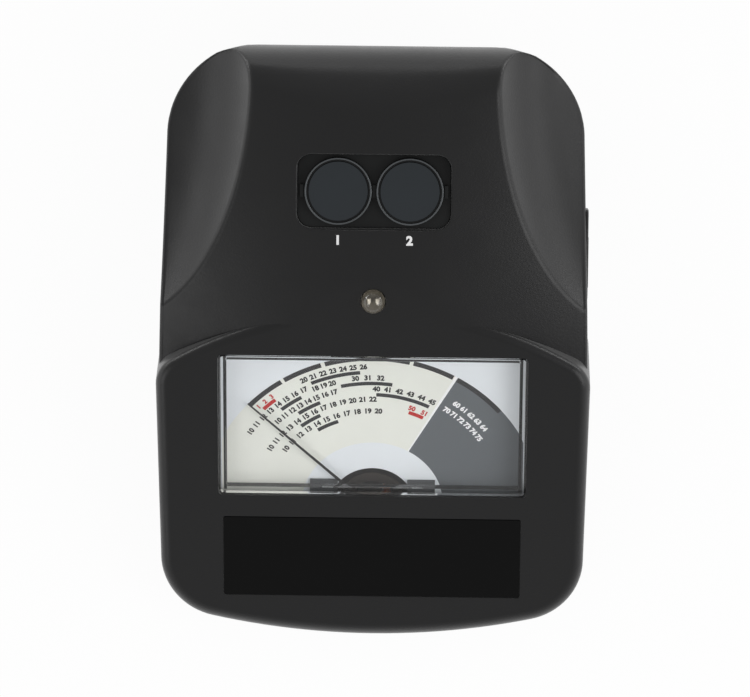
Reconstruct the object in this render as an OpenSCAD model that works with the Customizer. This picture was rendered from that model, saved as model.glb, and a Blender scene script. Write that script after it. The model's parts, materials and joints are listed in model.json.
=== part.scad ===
// Desk gemstone tester: sloped meter panel, reference discs, ready lamp, battery bay.
// X runs to the right, Y to the rear and Z up from the table.

/* [Body] */
// Width across the meter panel
body_w = 111.5; // [109:0.5:115]
// Length from the front edge to the rear edge
body_l = 156; // [153:0.5:160]
// Width across the rear flanks
rear_w = 107; // [106:0.5:108]
// Slope of the meter panel in degrees
panel_slope = 20.5; // [20:0.1:21.5]
// Height of the panel's front edge above the table
front_h = 11.3; // [11:0.1:12.8]
// Wall thickness of both mouldings
wall = 2.4; // [2.2:0.1:2.6]
// Height of the rubber feet below the case
foot_h = 1.5; // [1.2:0.1:1.8]
// Radius of the rounded panel edge
edge_r = 3; // [2:0.5:3.5]

/* [Spine and flanks] */
// Length of the panel from the front edge to the spine
panel_l = 96.5; // [95:0.5:98]
// Slope of the spine where it leaves the panel, degrees
spine_slope = 12.5; // [11.5:0.5:13.5]
// Radius of the crown across the spine
crown_r = 170; // [160:5:200]
// Radius of the rear roll
roll_r = 16; // [14:0.5:18]
// Radius of the hollow of each flank
cove_r = 36; // [35:0.5:37]
// Depth of the hollow's lowest line below the top
ledge_drop = 25.3; // [24.8:0.1:25.8]
// Radius of the arch behind the meter
arch_r = 102; // [96:1:110]

/* [Meter] */
// Width of the meter window
win_w = 79.5; // [77:0.5:81]
// Height of the meter window along the panel
win_h = 40.7; // [39:0.1:41.5]
// Distance from the front edge to the window's middle
win_set = 57.7; // [57:0.1:58.6]
// Length of the needle from its pivot
needle_l = 44; // [42:0.5:45]
// Angle of the needle from the middle of the scale at rest
needle_rest = 47; // [44:1:48]
// Radius of the core magnet
magnet_r = 4.4; // [4:0.1:4.6]

/* [Discs and lamp] */
// Diameter of a reference disc
disc_d = 15; // [14:0.5:15.5]
// Width of the ring round a disc
ring_t = 1; // [0.8:0.1:1.1]
// Distance between the disc centres
disc_gap = 18.2; // [17.9:0.1:18.6]
// Diameter of the ready lamp's lens
lamp_d = 6.1; // [5.2:0.1:6.3]

/* [Power] */
// Diameter of a cell
cell_d = 14.5; // [13.5:0.1:14.5]
// Length of a cell
cell_l = 50.5; // [49:0.5:51]
// Travel of the power switch
switch_travel = 4; // [3:0.5:4.5]
// Bore of the probe socket
socket_bore = 3.6; // [3.4:0.1:3.8]
// Play of sliding pieces
play = 0.2; // [0.15:0.05:0.25]

/* [Hidden] */
$fn = 40;

// Overall positions
y_front = -body_l / 2;
y_rear = body_l / 2;
win_y = y_front + win_set;
spine_y = y_front + panel_l;
slope_t = tan(panel_slope);
split_z = front_h - 4;
floor_top = foot_h + 2.2;
crest_y = y_rear - 16;
spine_r = (crest_y - spine_y) / sin(spine_slope);
top_z = panel_z(spine_y) + spine_r * (1 - cos(spine_slope));
ledge_z = top_z - ledge_drop;
roll_y = y_rear - roll_r;
roll_z = top_z - roll_r + 0.15;
rear_lean = 4.5;
form_y = win_y - 4.6;
scoop_x = 197.2;
scoop_y = crest_y + 12.8;
scoop_flat_r = 132.4;

// Plan of the body
half_w = body_w / 2;
front_half = half_w - 0.8;
rear_half = rear_w / 2;
front_arc_r = 190;
front_corner_r = 17;
rear_corner_r = 22.5;
arch_corner_r = 8;
arch_y = win_y + 10.8;
front_cx = front_half - front_corner_r;
front_run = sqrt(pow(front_arc_r - front_corner_r, 2) - pow(front_cx, 2));
front_cy = y_front + front_arc_r - front_run;
front_turn = atan2(front_cx, front_run);
arch_cx = half_w - arch_corner_r;
arch_run = sqrt(pow(arch_r - arch_corner_r, 2) - pow(arch_cx, 2));
arch_cy = arch_y - arch_run;
arch_turn = atan2(arch_run, arch_cx);
arch_draft = 8;
arch_lean = 14;

// Levels of the meter below the panel face
cover_top = -0.3;
cover_front_t = 1.5;
cover_side_t = 1.4;
cover_gap = 0.5;
flange_t = 1.5;
flange_low = -wall - flange_t;
case_w = win_w + 3.5;
case_l = win_h + 19.2;
case_v = -win_h / 2 + case_l / 2 - 18.2;
case_low = flange_low - 11.9;
case_t = 1.8;
case_floor = case_low + 1.6;
case_front_v = case_v - case_l / 2;
case_end_y = win_y + (case_v + case_l / 2) * cos(panel_slope) - case_low * sin(panel_slope);
dial_top = flange_low - 2;
dial_t = 0.4;
pivot_v = -win_h / 2 - 5.45;
needle_w = flange_low - 0.8;
frame_t = 0.9;
frame_top = case_floor + frame_t;
coil_mid = (flange_low - 2.2 + frame_top + 0.5) / 2;
coil_half = (flange_low - 2.2 - frame_top - 0.5) / 2;
winding_t = 0.7;
bobbin_t = 0.3;
magnet_half = coil_half - winding_t - bobbin_t - 0.2;
coil_in = magnet_r + 0.4;
coil_out = coil_in + bobbin_t + 0.9;
coil_band = 2.2;
yoke_in = sqrt(pow(coil_out, 2) + pow(coil_band / 2, 2)) + 0.5;
yoke_out = yoke_in + 2.5;
pillar_u = (yoke_in + yoke_out) / 2;
bridge_low = flange_low + 0.1;
bridge_top = -wall - 0.5;
ear_u = case_w / 2 + 2.6;
ear_v = [win_h / 2 - 7, -win_h / 2 - 1];
ear_top = flange_low - 3.1;

// Battery bay and board
cell_pitch = cell_d + 0.4;
bay_half = cell_pitch * 2 + 0.4;
bay_wall = 1.6;
bay_l = cell_l + 6;
bay_y1 = y_rear - 12;
bay_y0 = bay_y1 - bay_l;
bay_top = floor_top + cell_d + 0.7;
door_half = bay_half - 0.3 - play;
door_tongue = 1.4;
door_y0 = bay_y0 + 0.3;
door_y1 = y_rear - 5.5;
board_z = bay_top + bay_wall + 3;
board_t = 1.6;
board_top = board_z + board_t;
board_y0 = case_end_y + 5.8;
board_y1 = bay_y1 + 2.5;
board_x0 = -bay_half - bay_wall - 4.2;
post_x = bay_half - 3.2;
post_y = max(board_y0, bay_y0 + 1.5) + 6;
board_posts = [[-post_x, post_y], [post_x, post_y], [-post_x, board_y1 - 6], [post_x, board_y1 - 6]];
front_post = [half_w - 8, win_y - 38.4];
rear_post = [rear_half - 10.1, y_rear - 20.6];
foot_d = 10;

// Discs and lamp
pocket_l = 19;
pocket_w = disc_gap + disc_d + 2 * ring_t + 3.8;
pocket_y = crest_y - 20;
pocket_z = spine_z(pocket_y) - 4.5;
tray_t = 1.5;
disc_t = 2.2;
ring_top = pocket_z + tray_t + disc_t - 0.1;
lip_t = 0.42 * ring_t;
groove_h = 0.9;
lamp_y = spine_y - 4.9;
lamp_flange_z = panel_z(lamp_y) - 5.4;

// Switch and sockets
knob_l = 13;
knob_y = max(y_rear - 55.5, case_end_y + 9);
knob_h = 4.4;
knob_z = board_top + 2;
knob_x = side_x(knob_y) + 0.5;
recess_x = side_x(knob_y) - 1;
recess_y = [knob_y - knob_l / 2 - 2, knob_y + knob_l / 2 + switch_travel + 2];
recess_z = [knob_z - knob_h / 2 - 0.4, knob_z + knob_h / 2 + 0.4];
switch_x1 = side_x(knob_y) - 8.5;
board_x1 = switch_x1 - 6;
probe_x = -12;
power_x = 14;
socket_z = board_top + 3.6;

function panel_z(y) = front_h + (y - y_front) * slope_t;
function spine_z(y) = top_z - spine_r + sqrt(spine_r * spine_r - pow(y - crest_y, 2));
function side_x(y) = half_w - 0.1 - (half_w - 0.1 - rear_half) * (y - form_y) / (y_rear - rear_corner_r - form_y);
function flank_z(x, y) = ledge_z + cove_r
    - sqrt(pow(cove_r, 2) - pow(max(norm([scoop_x - x, scoop_y - y]) - scoop_flat_r, 0), 2));
function arc_pts(c, r, a0, a1, n) = [
    for (i = [0:n])
        let (a = a0 + (a1 - a0) * i / n)
        [c[0] + r * cos(a), c[1] + r * sin(a)]
];
function rr_pts(w, l, r) = concat(
    arc_pts([w / 2 - r, l / 2 - r], r, 0, 90, 5),
    arc_pts([-w / 2 + r, l / 2 - r], r, 90, 180, 5),
    arc_pts([-w / 2 + r, -l / 2 + r], r, 180, 270, 5),
    arc_pts([w / 2 - r, -l / 2 + r], r, 270, 360, 5)
);
// Plan of the meter plateau, inset by e and with the arch moved back by s
function front_pts(e, s) = concat(
    arc_pts([0, y_front + front_arc_r], front_arc_r - e, 270 - front_turn, 270 + front_turn, 12),
    arc_pts([front_cx, front_cy], front_corner_r - e, 270 + front_turn, 360, 8),
    arc_pts([arch_cx, arch_y + s], arch_corner_r - e, 0, arch_turn, 5),
    arc_pts([0, arch_cy + s], arch_r - e, arch_turn, 180 - arch_turn, 12),
    arc_pts([-arch_cx, arch_y + s], arch_corner_r - e, 180 - arch_turn, 180, 5),
    arc_pts([-front_cx, front_cy], front_corner_r - e, 180, 270 - front_turn, 8)
);
// Plan of the rear body, inset by e and with its rear end moved in by s
function rear_pts(e, s) = concat(
    [[half_w - 0.1 - e, form_y]],
    arc_pts([rear_half - rear_corner_r, y_rear - rear_corner_r - s], rear_corner_r - e, 0, 90, 12),
    arc_pts([-rear_half + rear_corner_r, y_rear - rear_corner_r - s], rear_corner_r - e, 90, 180, 12),
    [[-half_w + 0.1 + e, form_y]]
);
// Plan of the base, inset by e
function base_pts(e) = concat(
    arc_pts([0, y_front + front_arc_r], front_arc_r - e, 270 - front_turn, 270 + front_turn, 12),
    arc_pts([front_cx, front_cy], front_corner_r - e, 270 + front_turn, 360, 8),
    [[half_w - 0.3 - e, arch_y]],
    arc_pts([rear_half - rear_corner_r, y_rear - rear_lean - rear_corner_r], rear_corner_r - e, 0, 90, 8),
    arc_pts([-rear_half + rear_corner_r, y_rear - rear_lean - rear_corner_r], rear_corner_r - e, 90, 180, 8),
    [[-half_w + 0.3 + e, arch_y]],
    arc_pts([-front_cx, front_cy], front_corner_r - e, 180, 270 - front_turn, 8)
);

// Frame of the meter panel: origin in the window's middle, Z out of the panel
module on_panel() {
    translate([0, win_y, panel_z(win_y)])
        rotate([panel_slope, 0, 0])
            children();
}

// Frame of the needle's pivot
module on_pivot() {
    on_panel()
        translate([0, pivot_v, 0])
            children();
}

module at(points) {
    for (p = points)
        translate([p[0], p[1], 0])
            children();
}

module mirrored() {
    children();
    mirror([1, 0, 0])
        children();
}

module rod(z0, z1, d, $fn = 40) {
    translate([0, 0, z0])
        cylinder(h = z1 - z0, d = d);
}

module block(x, y, z) {
    translate([x[0], y[0], z[0]])
        cube([x[1] - x[0], y[1] - y[0], z[1] - z[0]]);
}

module slab(w, l, r, z0, z1) {
    translate([0, 0, z0])
        linear_extrude(z1 - z0)
            polygon(rr_pts(w, l, r));
}

// Wire along a chain of points
module wire(points, r) {
    for (i = [0:len(points) - 2]) {
        d = points[i + 1] - points[i];
        translate(points[i])
            rotate([0, acos(d[2] / norm(d)), atan2(d[1], d[0])])
                cylinder(h = norm(d), r = r, $fn = 16);
        if (i > 0)
            translate(points[i])
                sphere(r = 1.08 * r, $fn = 16);
    }
}

// Crowned spine, set in by e
module spine_form(e) {
    translate([0, crest_y, top_z - spine_r])
        rotate([0, 90, 0])
            rotate_extrude($fn = 360)
                intersection() {
                    translate([spine_r - e - crown_r, 0])
                        circle(crown_r, $fn = 360);
                    translate([spine_r - 60, -60])
                        square([70, 120]);
                }
}

// Long profile with panel slope, rear roll and leaning rear wall, set in by e
module long_form(e, low) {
    drop = e / cos(panel_slope) + 0.05;
    rotate([90, 0, 90])
        translate([0, 0, -half_w - 5])
            linear_extrude(body_w + 10) {
                polygon([
                    [form_y, low],
                    [roll_y, low],
                    [roll_y, panel_z(roll_y) - drop],
                    [form_y, panel_z(form_y) - drop]
                ]);
                translate([roll_y, roll_z])
                    circle(roll_r - e, $fn = 96);
                polygon([
                    [roll_y - 1, low],
                    [y_rear - rear_lean - e, low],
                    [y_rear - e, roll_z],
                    [roll_y - 1, roll_z]
                ]);
            }
}

// Hollow of one flank, grown by e
module scoop(e) {
    translate([scoop_x, scoop_y, 0])
        rotate_extrude($fn = 180) {
            translate([40, ledge_z - e])
                square([scoop_flat_r - 40, cove_r + 20]);
            translate([scoop_flat_r, ledge_z + cove_r])
                circle(cove_r + e, $fn = 72);
            translate([40, ledge_z + cove_r])
                square([scoop_flat_r + cove_r + e - 40, 20]);
        }
}

// Rear plan drawn up, with the wall leaning in below the roll
module rear_prism(e, low) {
    hull() {
        translate([0, 0, low])
            linear_extrude(0.02, scale = 0.9)
                polygon(rear_pts(e, rear_lean));
        translate([0, 0, roll_z])
            linear_extrude(0.02, scale = 0.9)
                polygon(rear_pts(e, 0));
        translate([0, 0, top_z + 5])
            linear_extrude(0.02, scale = 0.9)
                polygon(rear_pts(e, 0));
    }
}

module rear_form(e, low) {
    difference() {
        intersection() {
            rear_prism(e, low);
            long_form(e, low);
            spine_form(e);
        }
        mirrored()
            scoop(e);
    }
}

// Thin slice of the plateau that follows the panel slope, d below the panel and tapered by s
module panel_slice(e, d, s) {
    multmatrix([[1, 0, 0, 0], [0, 1, 0, 0], [0, slope_t, 1, panel_z(0) - d], [0, 0, 0, 1]])
        linear_extrude(0.02, scale = s)
            polygon(front_pts(e, 0));
}

module front_form() {
    hull() {
        translate([0, 0, split_z])
            linear_extrude(0.02, scale = 0.9)
                polygon(front_pts(0, arch_draft));
        for (a = [22.5:22.5:90])
            panel_slice(edge_r * (1 - sin(a)), edge_r * (1 - cos(a)), 0.9);
        panel_slice(edge_r, 0.02, 1);
    }
}

module front_void(low) {
    intersection() {
        translate([0, 0, low])
            linear_extrude(top_z)
                polygon(front_pts(wall, arch_draft));
        // The arch wall leans back like its outside
        translate([0, arch_cy + (arch_r - wall) * (1 - 1 / cos(arch_lean)), panel_z(arch_y + 10)])
            rotate([arch_lean, 0, 0])
                rod(-60, 20, 2 * (arch_r - wall), $fn = 180);
        rotate([90, 0, 90])
            translate([0, 0, -half_w])
                linear_extrude(body_w)
                    polygon([
                        [y_front, low],
                        [spine_y, low],
                        [spine_y, panel_z(spine_y) - wall / cos(panel_slope)],
                        [y_front, panel_z(y_front) - wall / cos(panel_slope)]
                    ]);
    }
}

module upper_shell() {
    difference() {
        union() {
            rear_form(0, split_z);
            front_form();
        }
        rear_form(wall, split_z - 1);
        front_void(split_z - 1);
    }
}

module upper_housing() {
    color("#2b2c2e")
    difference() {
        union() {
            upper_shell();
            mirrored() {
                translate([front_post[0], front_post[1], 0])
                    rod(split_z, panel_z(front_post[1]) - 2, 6.4);
                translate([rear_post[0], rear_post[1], 0])
                    rod(split_z, flank_z(rear_post[0] + 3.2, rear_post[1]) - 0.5, 6.4);
                on_panel()
                    for (v = ear_v)
                        translate([ear_u, v, 0])
                            rod(ear_top, -1, 5);
            }
            translate([0, pocket_y, 0])
                slab(pocket_w + 3.6, pocket_l + 3.6, 4, pocket_z - 1.8, pocket_z + 1.6);
            // Low frame round the switch recess
            block([side_x(knob_y) - 2, side_x(knob_y) + 0.4], [recess_y[0] - 1.2, recess_y[1] + 1.2],
                [recess_z[0] - 0.6, recess_z[1] + 0.6]);
        }
        on_panel() {
            slab(win_w, win_h, 1.2, -wall - 3, 3);
            translate([0, name_v, 0])
                slab(name_w, name_h, 0.6, -0.35, 3);
            mirrored()
                for (v = ear_v)
                    translate([ear_u, v, 0])
                        rod(ear_top - 1, -1.8, 1.9);
        }
        translate([0, pocket_y, 0])
            slab(pocket_w, pocket_l, 3.6, pocket_z, top_z + 1);
        translate([0, lamp_y, 0])
            rod(panel_z(lamp_y) - 8, top_z + 4, lamp_d + 0.5);
        mirrored() {
            translate([front_post[0], front_post[1], 0])
                rod(split_z - 1, panel_z(front_post[1]) - 4.4, 2.5);
            translate([rear_post[0], rear_post[1], 0])
                rod(split_z - 1, split_z + 14, 2.5);
        }
        block([recess_x, knob_x + 1], recess_y, recess_z);
        block([recess_x - 6, knob_x + 1], [knob_y - 2.4, knob_y + switch_travel + 2.4], [knob_z - 1.5, knob_z + 1.5]);
        translate([probe_x, y_rear - 12, socket_z])
            rotate([-90, 0, 0])
                rod(0, 20, 7);
        block([power_x - 4.8, power_x + 4.8], [y_rear - 12, y_rear + 2], [board_top - 0.4, board_top + 7.6]);
    }
}

name_w = win_w - 2.3;
name_h = 23.4;
name_v = -win_h / 2 - 17.95;

module name_plate() {
    color("#101010")
    on_panel()
        translate([0, name_v, 0])
            slab(name_w - 0.4, name_h - 0.4, 0.5, -0.35, 0.05);
}

module lower_housing() {
    color("#2b2c2e")
    difference() {
        union() {
            difference() {
                hull() {
                    translate([0, 0, foot_h])
                        linear_extrude(0.2)
                            polygon(base_pts(2.4));
                    translate([0, 0, foot_h + 2])
                        linear_extrude(split_z - foot_h - 2)
                            polygon(base_pts(0.4));
                }
                translate([0, 0, floor_top])
                    linear_extrude(split_z)
                        polygon(base_pts(0.4 + wall));
            }
            // Lip that guides the upper housing
            difference() {
                translate([0, 0, floor_top - 0.5])
                    linear_extrude(split_z - floor_top + 1.7)
                        polygon(base_pts(wall + 0.8));
                translate([0, 0, floor_top - 1])
                    linear_extrude(split_z)
                        polygon(base_pts(wall + 1.9));
            }
            // Battery bay with board posts
            block([-bay_half - bay_wall, bay_half + bay_wall], [bay_y0 - bay_wall, bay_y1 + bay_wall],
                [foot_h + 1, bay_top + bay_wall]);
            // Sill above the door slot behind the bay
            block([-bay_half - bay_wall - 0.7, bay_half + bay_wall + 0.7], [bay_y1 - 1, y_rear - rear_lean - 1.2],
                [foot_h + 1.2, foot_h + 3.8]);
            at(board_posts)
                rod(bay_top, board_z, 5);
            mirrored() {
                translate([front_post[0], front_post[1], 0])
                    rod(foot_h + 1, split_z, 6.4);
                translate([rear_post[0], rear_post[1], 0])
                    rod(foot_h + 1, split_z, 6.4);
            }
        }
        // Room for the cells, open to the door
        block([-bay_half, bay_half], [bay_y0, bay_y1], [foot_h - 1, bay_top]);
        // Door opening and its side grooves, open to the rear
        block([-door_half - play, door_half + play], [bay_y0 + 0.1, y_rear + 1], [foot_h - 1, foot_h + 2.1]);
        block([-door_half - play - door_tongue, door_half + play + door_tongue], [bay_y0 + 3, y_rear + 2],
            [foot_h + 0.7, foot_h + 1.7]);
        at(board_posts)
            rod(board_z - 5, board_z + 1, 1.8);
        mirrored() {
            for (p = [front_post, rear_post])
                translate([p[0], p[1], 0]) {
                    rod(foot_h - 1, split_z + 1, 3.2);
                    rod(foot_h - 1, foot_h + 1.6, 6);
                }
            at(foot_points)
                rod(foot_h - 1, foot_h + 1, foot_d + 0.2);
        }
    }
}

foot_points = [[half_w - 20, win_y - 42.1], [rear_half - 13, y_rear - 30]];

module rubber_feet() {
    color("#1b1b1b")
    mirrored()
        at(foot_points) {
            rod(0.6, foot_h + 1, foot_d);
            cylinder(h = 0.6, d1 = foot_d - 1.2, d2 = foot_d);
        }
}

module battery_door() {
    color("#2b2c2e")
    difference() {
        union() {
            block([-door_half, door_half], [door_y0, door_y1], [foot_h, foot_h + 1.9]);
            block([-door_half - door_tongue, door_half + door_tongue], [bay_y0 + 3 + play, door_y1 - 3],
                [foot_h + 0.7, foot_h + 1.5]);
        }
        // Thumb grip
        for (i = [0:4])
            block([-9, 9], [door_y0 + 8 + 2.4 * i, door_y0 + 9.2 + 2.4 * i], [foot_h - 1, foot_h + 0.6]);
    }
}

module housing_screws() {
    color("#8a8d90")
    mirrored()
        for (p = [front_post, rear_post])
            translate([p[0], p[1], 0])
                difference() {
                    union() {
                        rod(foot_h + 0.1, foot_h + 1.6, 5.4);
                        rod(foot_h + 1, split_z + 6, 2.5);
                    }
                    block([-2, 2], [-0.3, 0.3], [foot_h - 1, foot_h + 0.9]);
                    block([-0.3, 0.3], [-2, 2], [foot_h - 1, foot_h + 0.9]);
                }
}

module disc_tray() {
    color("#17181a")
    translate([0, pocket_y, 0])
        difference() {
            union() {
                slab(pocket_w - 0.4, pocket_l - 0.4, 3.4, pocket_z, pocket_z + tray_t);
                for (x = [-pocket_w / 2 + 1.2, 0, pocket_w / 2 - 1.2])
                    block([x - 0.45, x + 0.45], [-1.6, 1.6], [pocket_z + 0.5, pocket_z + tray_t + 1.3]);
            }
            for (x = [-disc_gap / 2, disc_gap / 2])
                translate([x, 0, 0])
                    rod(pocket_z + tray_t - 0.4, pocket_z + 9, disc_d + 2 * ring_t + 0.1);
        }
}

module reference_disc(x) {
    translate([x, pocket_y, 0])
        rod(pocket_z + tray_t - 0.4, pocket_z + tray_t - 0.4 + disc_t, disc_d);
}

module reference_disc_left() {
    color("#363a3d")
        reference_disc(-disc_gap / 2);
}

module reference_disc_right() {
    color("#363a3d")
        reference_disc(disc_gap / 2);
}

module disc_rings() {
    color("#4b4e50")
    for (x = [-disc_gap / 2, disc_gap / 2])
        translate([x, pocket_y, 0])
            difference() {
                rod(pocket_z + tray_t - 0.4, ring_top, disc_d + 2 * ring_t);
                rod(pocket_z, pocket_z + 9, disc_d);
                // Groove between the lip and the disc
                rod(ring_top - groove_h, ring_top + 1, disc_d + 2 * (ring_t - lip_t));
            }
}

module ready_lamp() {
    color("#d8d4c8")
    translate([0, lamp_y, lamp_flange_z]) {
        rod(0, 1, lamp_d + 0.3);
        rotate_extrude()
            intersection() {
                union() {
                    translate([0, 5.6])
                        circle(d = lamp_d);
                    translate([0, 0.5])
                        square([lamp_d / 2, 5.1]);
                }
                square([lamp_d, 20]);
            }
    }
}

module lamp_leads() {
    color("#b9bcbf")
    for (x = [-1.27, 1.27])
        translate([x, lamp_y, 0])
            rod(board_z - 1, lamp_flange_z, 0.5);
}

module lamp_spacer() {
    color("#1e1f20")
    translate([0, lamp_y, 0])
        difference() {
            rod(board_top, lamp_flange_z, 6);
            for (x = [-1.27, 1.27])
                translate([x, 0, 0])
                    rod(board_z, lamp_flange_z + 1, 0.7);
        }
}

module meter_cover() {
    color("#dfe6ea", 0.35)
    on_panel()
        difference() {
            union() {
                slab(win_w - 2 * cover_gap, win_h - 2 * cover_gap, 1, flange_low, cover_top);
                translate([0, case_v, 0])
                    slab(case_w, case_l, 3, flange_low, -wall);
            }
            slab(win_w - 2 * cover_gap - 2 * cover_side_t, win_h - 2 * cover_gap - 2 * cover_side_t, 0.6,
                flange_low - 1, cover_top - cover_front_t);
            // Room for the upper bridge
            block([-13, 13], [case_front_v + 3, -win_h / 2 - 0.4], [flange_low - 1, 0]);
        }
}

module meter_case() {
    color("#232425")
    on_panel()
        difference() {
            union() {
                translate([0, case_v, 0])
                    difference() {
                        slab(case_w, case_l, 3, case_low, flange_low);
                        slab(case_w - 2 * case_t, case_l - 2 * case_t, 1.2, case_floor, flange_low + 1);
                    }
                at(dial_posts)
                    rod(case_floor - 0.5, dial_top - dial_t, 4.4);
                at(clamp_points)
                    rod(case_floor - 0.5, dial_top - dial_t, 3);
                mirrored()
                    for (v = ear_v)
                        translate([0, v, 0])
                            block([case_w / 2 - 1, ear_u + 2.2], [-2.6, 2.6], [ear_top - 2, ear_top]);
            }
            mirrored()
                for (v = ear_v)
                    translate([ear_u, v, 0])
                        rod(ear_top - 5, ear_top + 1, 2.2);
            at([dial_posts[0], dial_posts[1]])
                rod(dial_top - dial_t - 4, dial_top, 1.4);
            at(clamp_points)
                rod(dial_top - dial_t - 3, dial_top, 1.2);
            at(terminal_points)
                rod(case_low - 1, case_floor + 1, 3);
        }
}

dial_posts = [
    [-case_w / 2 + 7.4, case_front_v + 6.6], [case_w / 2 - 7.4, case_front_v + 6.6],
    [-case_w / 2 + 7.4, win_h / 2 - 2.2], [case_w / 2 - 7.4, win_h / 2 - 2.2]
];
terminal_points = [[-20, -2], [20, -2]];
clamp_points = [[-12.6, -win_h / 2 + 0.8], [12.6, -win_h / 2 + 0.8]];

module meter_screws() {
    color("#8a8d90")
    on_panel()
        mirrored()
            for (v = ear_v)
                translate([ear_u, v, 0]) {
                    rod(ear_top - 3.4, ear_top - 2, 4);
                    rod(ear_top - 2.5, -wall - 0.6, 1.9);
                }
}

module dial_plate() {
    color("#d9dcd7")
    on_panel()
        difference() {
            translate([0, case_v, 0])
                slab(case_w - 2 * case_t - 1, case_l - 2 * case_t - 1.4, 1, dial_top - dial_t, dial_top);
            translate([0, pivot_v, 0])
                rod(dial_top - 2, dial_top + 1, 22);
            block([-13, 13], [case_front_v - 1, pivot_v + 2], [dial_top - 2, dial_top + 1]);
            at([dial_posts[0], dial_posts[1]])
                rod(dial_top - 2, dial_top + 1, 1.6);
            at(clamp_points)
                rod(dial_top - 2, dial_top + 1, 1.3);
        }
}

module dial_screws() {
    color("#8a8d90")
    on_panel()
        at([dial_posts[0], dial_posts[1]])
            difference() {
                union() {
                    rod(dial_top, dial_top + 0.9, 3);
                    rod(dial_top - 4, dial_top + 0.5, 1.4);
                }
                block([-2, 2], [-0.25, 0.25], [dial_top + 0.5, dial_top + 2]);
            }
}

// Small pinned tabs that hold the dial down beside the movement
module dial_clamps() {
    color("#6e7174")
    on_panel()
        at(clamp_points) {
            block([-3.6, 3.6], [-1.5, 1.5], [dial_top, dial_top + 0.6]);
            rod(dial_top - dial_t - 3, dial_top + 0.3, 1.2);
        }
}

// Everything that turns with the needle is drawn upright and laid over to its rest angle
module at_rest() {
    on_pivot()
        rotate([0, 0, needle_rest])
            children();
}

module needle() {
    color("#161616")
    at_rest()
        difference() {
            union() {
                rod(needle_w - 0.4, needle_w + 0.3, 3);
                translate([0, 0, needle_w - 0.15])
                    linear_extrude(0.3)
                        polygon([[-0.42, 0], [0.42, 0], [0.16, needle_l], [-0.16, needle_l]]);
                block([-0.5, 0.5], [-6.6, 0], [needle_w - 0.15, needle_w + 0.15]);
                translate([0, -5.9, 0])
                    rod(needle_w - 0.5, needle_w + 0.4, 2);
            }
            rod(needle_w - 2, needle_w + 2, 0.8);
        }
}

module coil_bobbin() {
    color("#b9bcbf")
    at_rest()
        translate([0, 0, coil_mid])
            difference() {
                cube([2 * (coil_in + bobbin_t), coil_band, 2 * (coil_half - winding_t)], center = true);
                cube([2 * coil_in, coil_band + 1, 2 * (coil_half - winding_t - bobbin_t)], center = true);
            }
}

module coil_winding() {
    color("#b4602f")
    at_rest()
        translate([0, 0, coil_mid])
            difference() {
                cube([2 * coil_out, coil_band - 0.3, 2 * coil_half], center = true);
                cube([2 * (coil_in + bobbin_t), coil_band + 1, 2 * (coil_half - winding_t)], center = true);
            }
}

module coil_pivots() {
    color("#9a9da0")
    at_rest() {
        rod(coil_mid + coil_half, bridge_low - 0.05, 0.8);
        rod(frame_top + 0.05, coil_mid - coil_half, 0.8);
    }
}

// Flat spiral strip
module hairspring(r0, r1, turns, h) {
    n = turns * 16;
    t = 0.12;
    outer = [for (i = [0:n]) let (a = 360 * turns * i / n, r = r0 + (r1 - r0) * i / n) [r * cos(a), r * sin(a)]];
    inner = [for (i = [n:-1:0]) let (a = 360 * turns * i / n, r = r0 - t + (r1 - r0) * i / n) [r * cos(a), r * sin(a)]];
    linear_extrude(h)
        polygon(concat(outer, inner));
}

module upper_hairspring() {
    color("#c9a24a")
    on_pivot()
        translate([0, 0, coil_mid + coil_half + 0.45])
            hairspring(0.56, 4.2, 5, 0.3);
}

module lower_hairspring() {
    color("#c9a24a")
    on_pivot()
        translate([0, 0, coil_mid - coil_half - 0.4])
            hairspring(0.56, 2.4, 4, 0.25);
}

module upper_jewel_screw() {
    color("#c2a25a")
    on_pivot()
        difference() {
            rod(bridge_low - 0.05, bridge_top + 0.3, 2.2);
            block([-2, 2], [-0.2, 0.2], [bridge_top, bridge_top + 1]);
        }
}

module lower_jewel_screw() {
    color("#c2a25a")
    on_pivot()
        rod(case_floor, frame_top + 0.05, 2.2);
}

module core_magnet() {
    color("#55585b")
    on_pivot()
        rod(coil_mid - magnet_half, coil_mid + magnet_half, 2 * magnet_r);
}

module yoke_ring() {
    color("#6a6d70")
    on_pivot()
        difference() {
            rod(coil_mid - magnet_half - 0.4, coil_mid + magnet_half + 0.4, 2 * yoke_out);
            rod(coil_mid - magnet_half - 2, coil_mid + magnet_half + 2, 2 * yoke_in);
        }
}

module meter_frame() {
    color("#77797c")
    on_pivot() {
        difference() {
            union() {
                rod(case_floor, frame_top, 2 * yoke_out);
                for (s = [-1, 1])
                    translate([s * pillar_u, 0, 0])
                        rod(frame_top - 0.2, coil_mid - magnet_half - 0.4, 2);
                for (s = [-1, 1])
                    translate([0, s * (magnet_r - 0.9), 0])
                        rod(frame_top - 0.2, coil_mid - magnet_half, 1.2);
                // Stud that holds the outer end of the lower hairspring
                translate([2.75, 0, 0])
                    rod(frame_top - 0.2, frame_top + 0.35, 0.7);
            }
            rod(case_floor - 1, frame_top + 1, 2.2);
        }
    }
}

module upper_bridge() {
    color("#77797c")
    on_pivot() {
        difference() {
            union() {
                block([-pillar_u - 1.4, pillar_u + 1.4], [-1.6, 1.6], [bridge_low, bridge_top]);
                for (s = [-1, 1])
                    translate([s * pillar_u, 0, 0])
                        rod(coil_mid + magnet_half + 0.4, bridge_low + 0.2, 2);
                // Stud that holds the outer end of the hairspring
                translate([4.56, 0, 0])
                    rod(coil_mid + coil_half + 0.3, bridge_low + 0.2, 0.7);
            }
            rod(bridge_low - 1, bridge_top + 1, 2.2);
        }
    }
}

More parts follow.
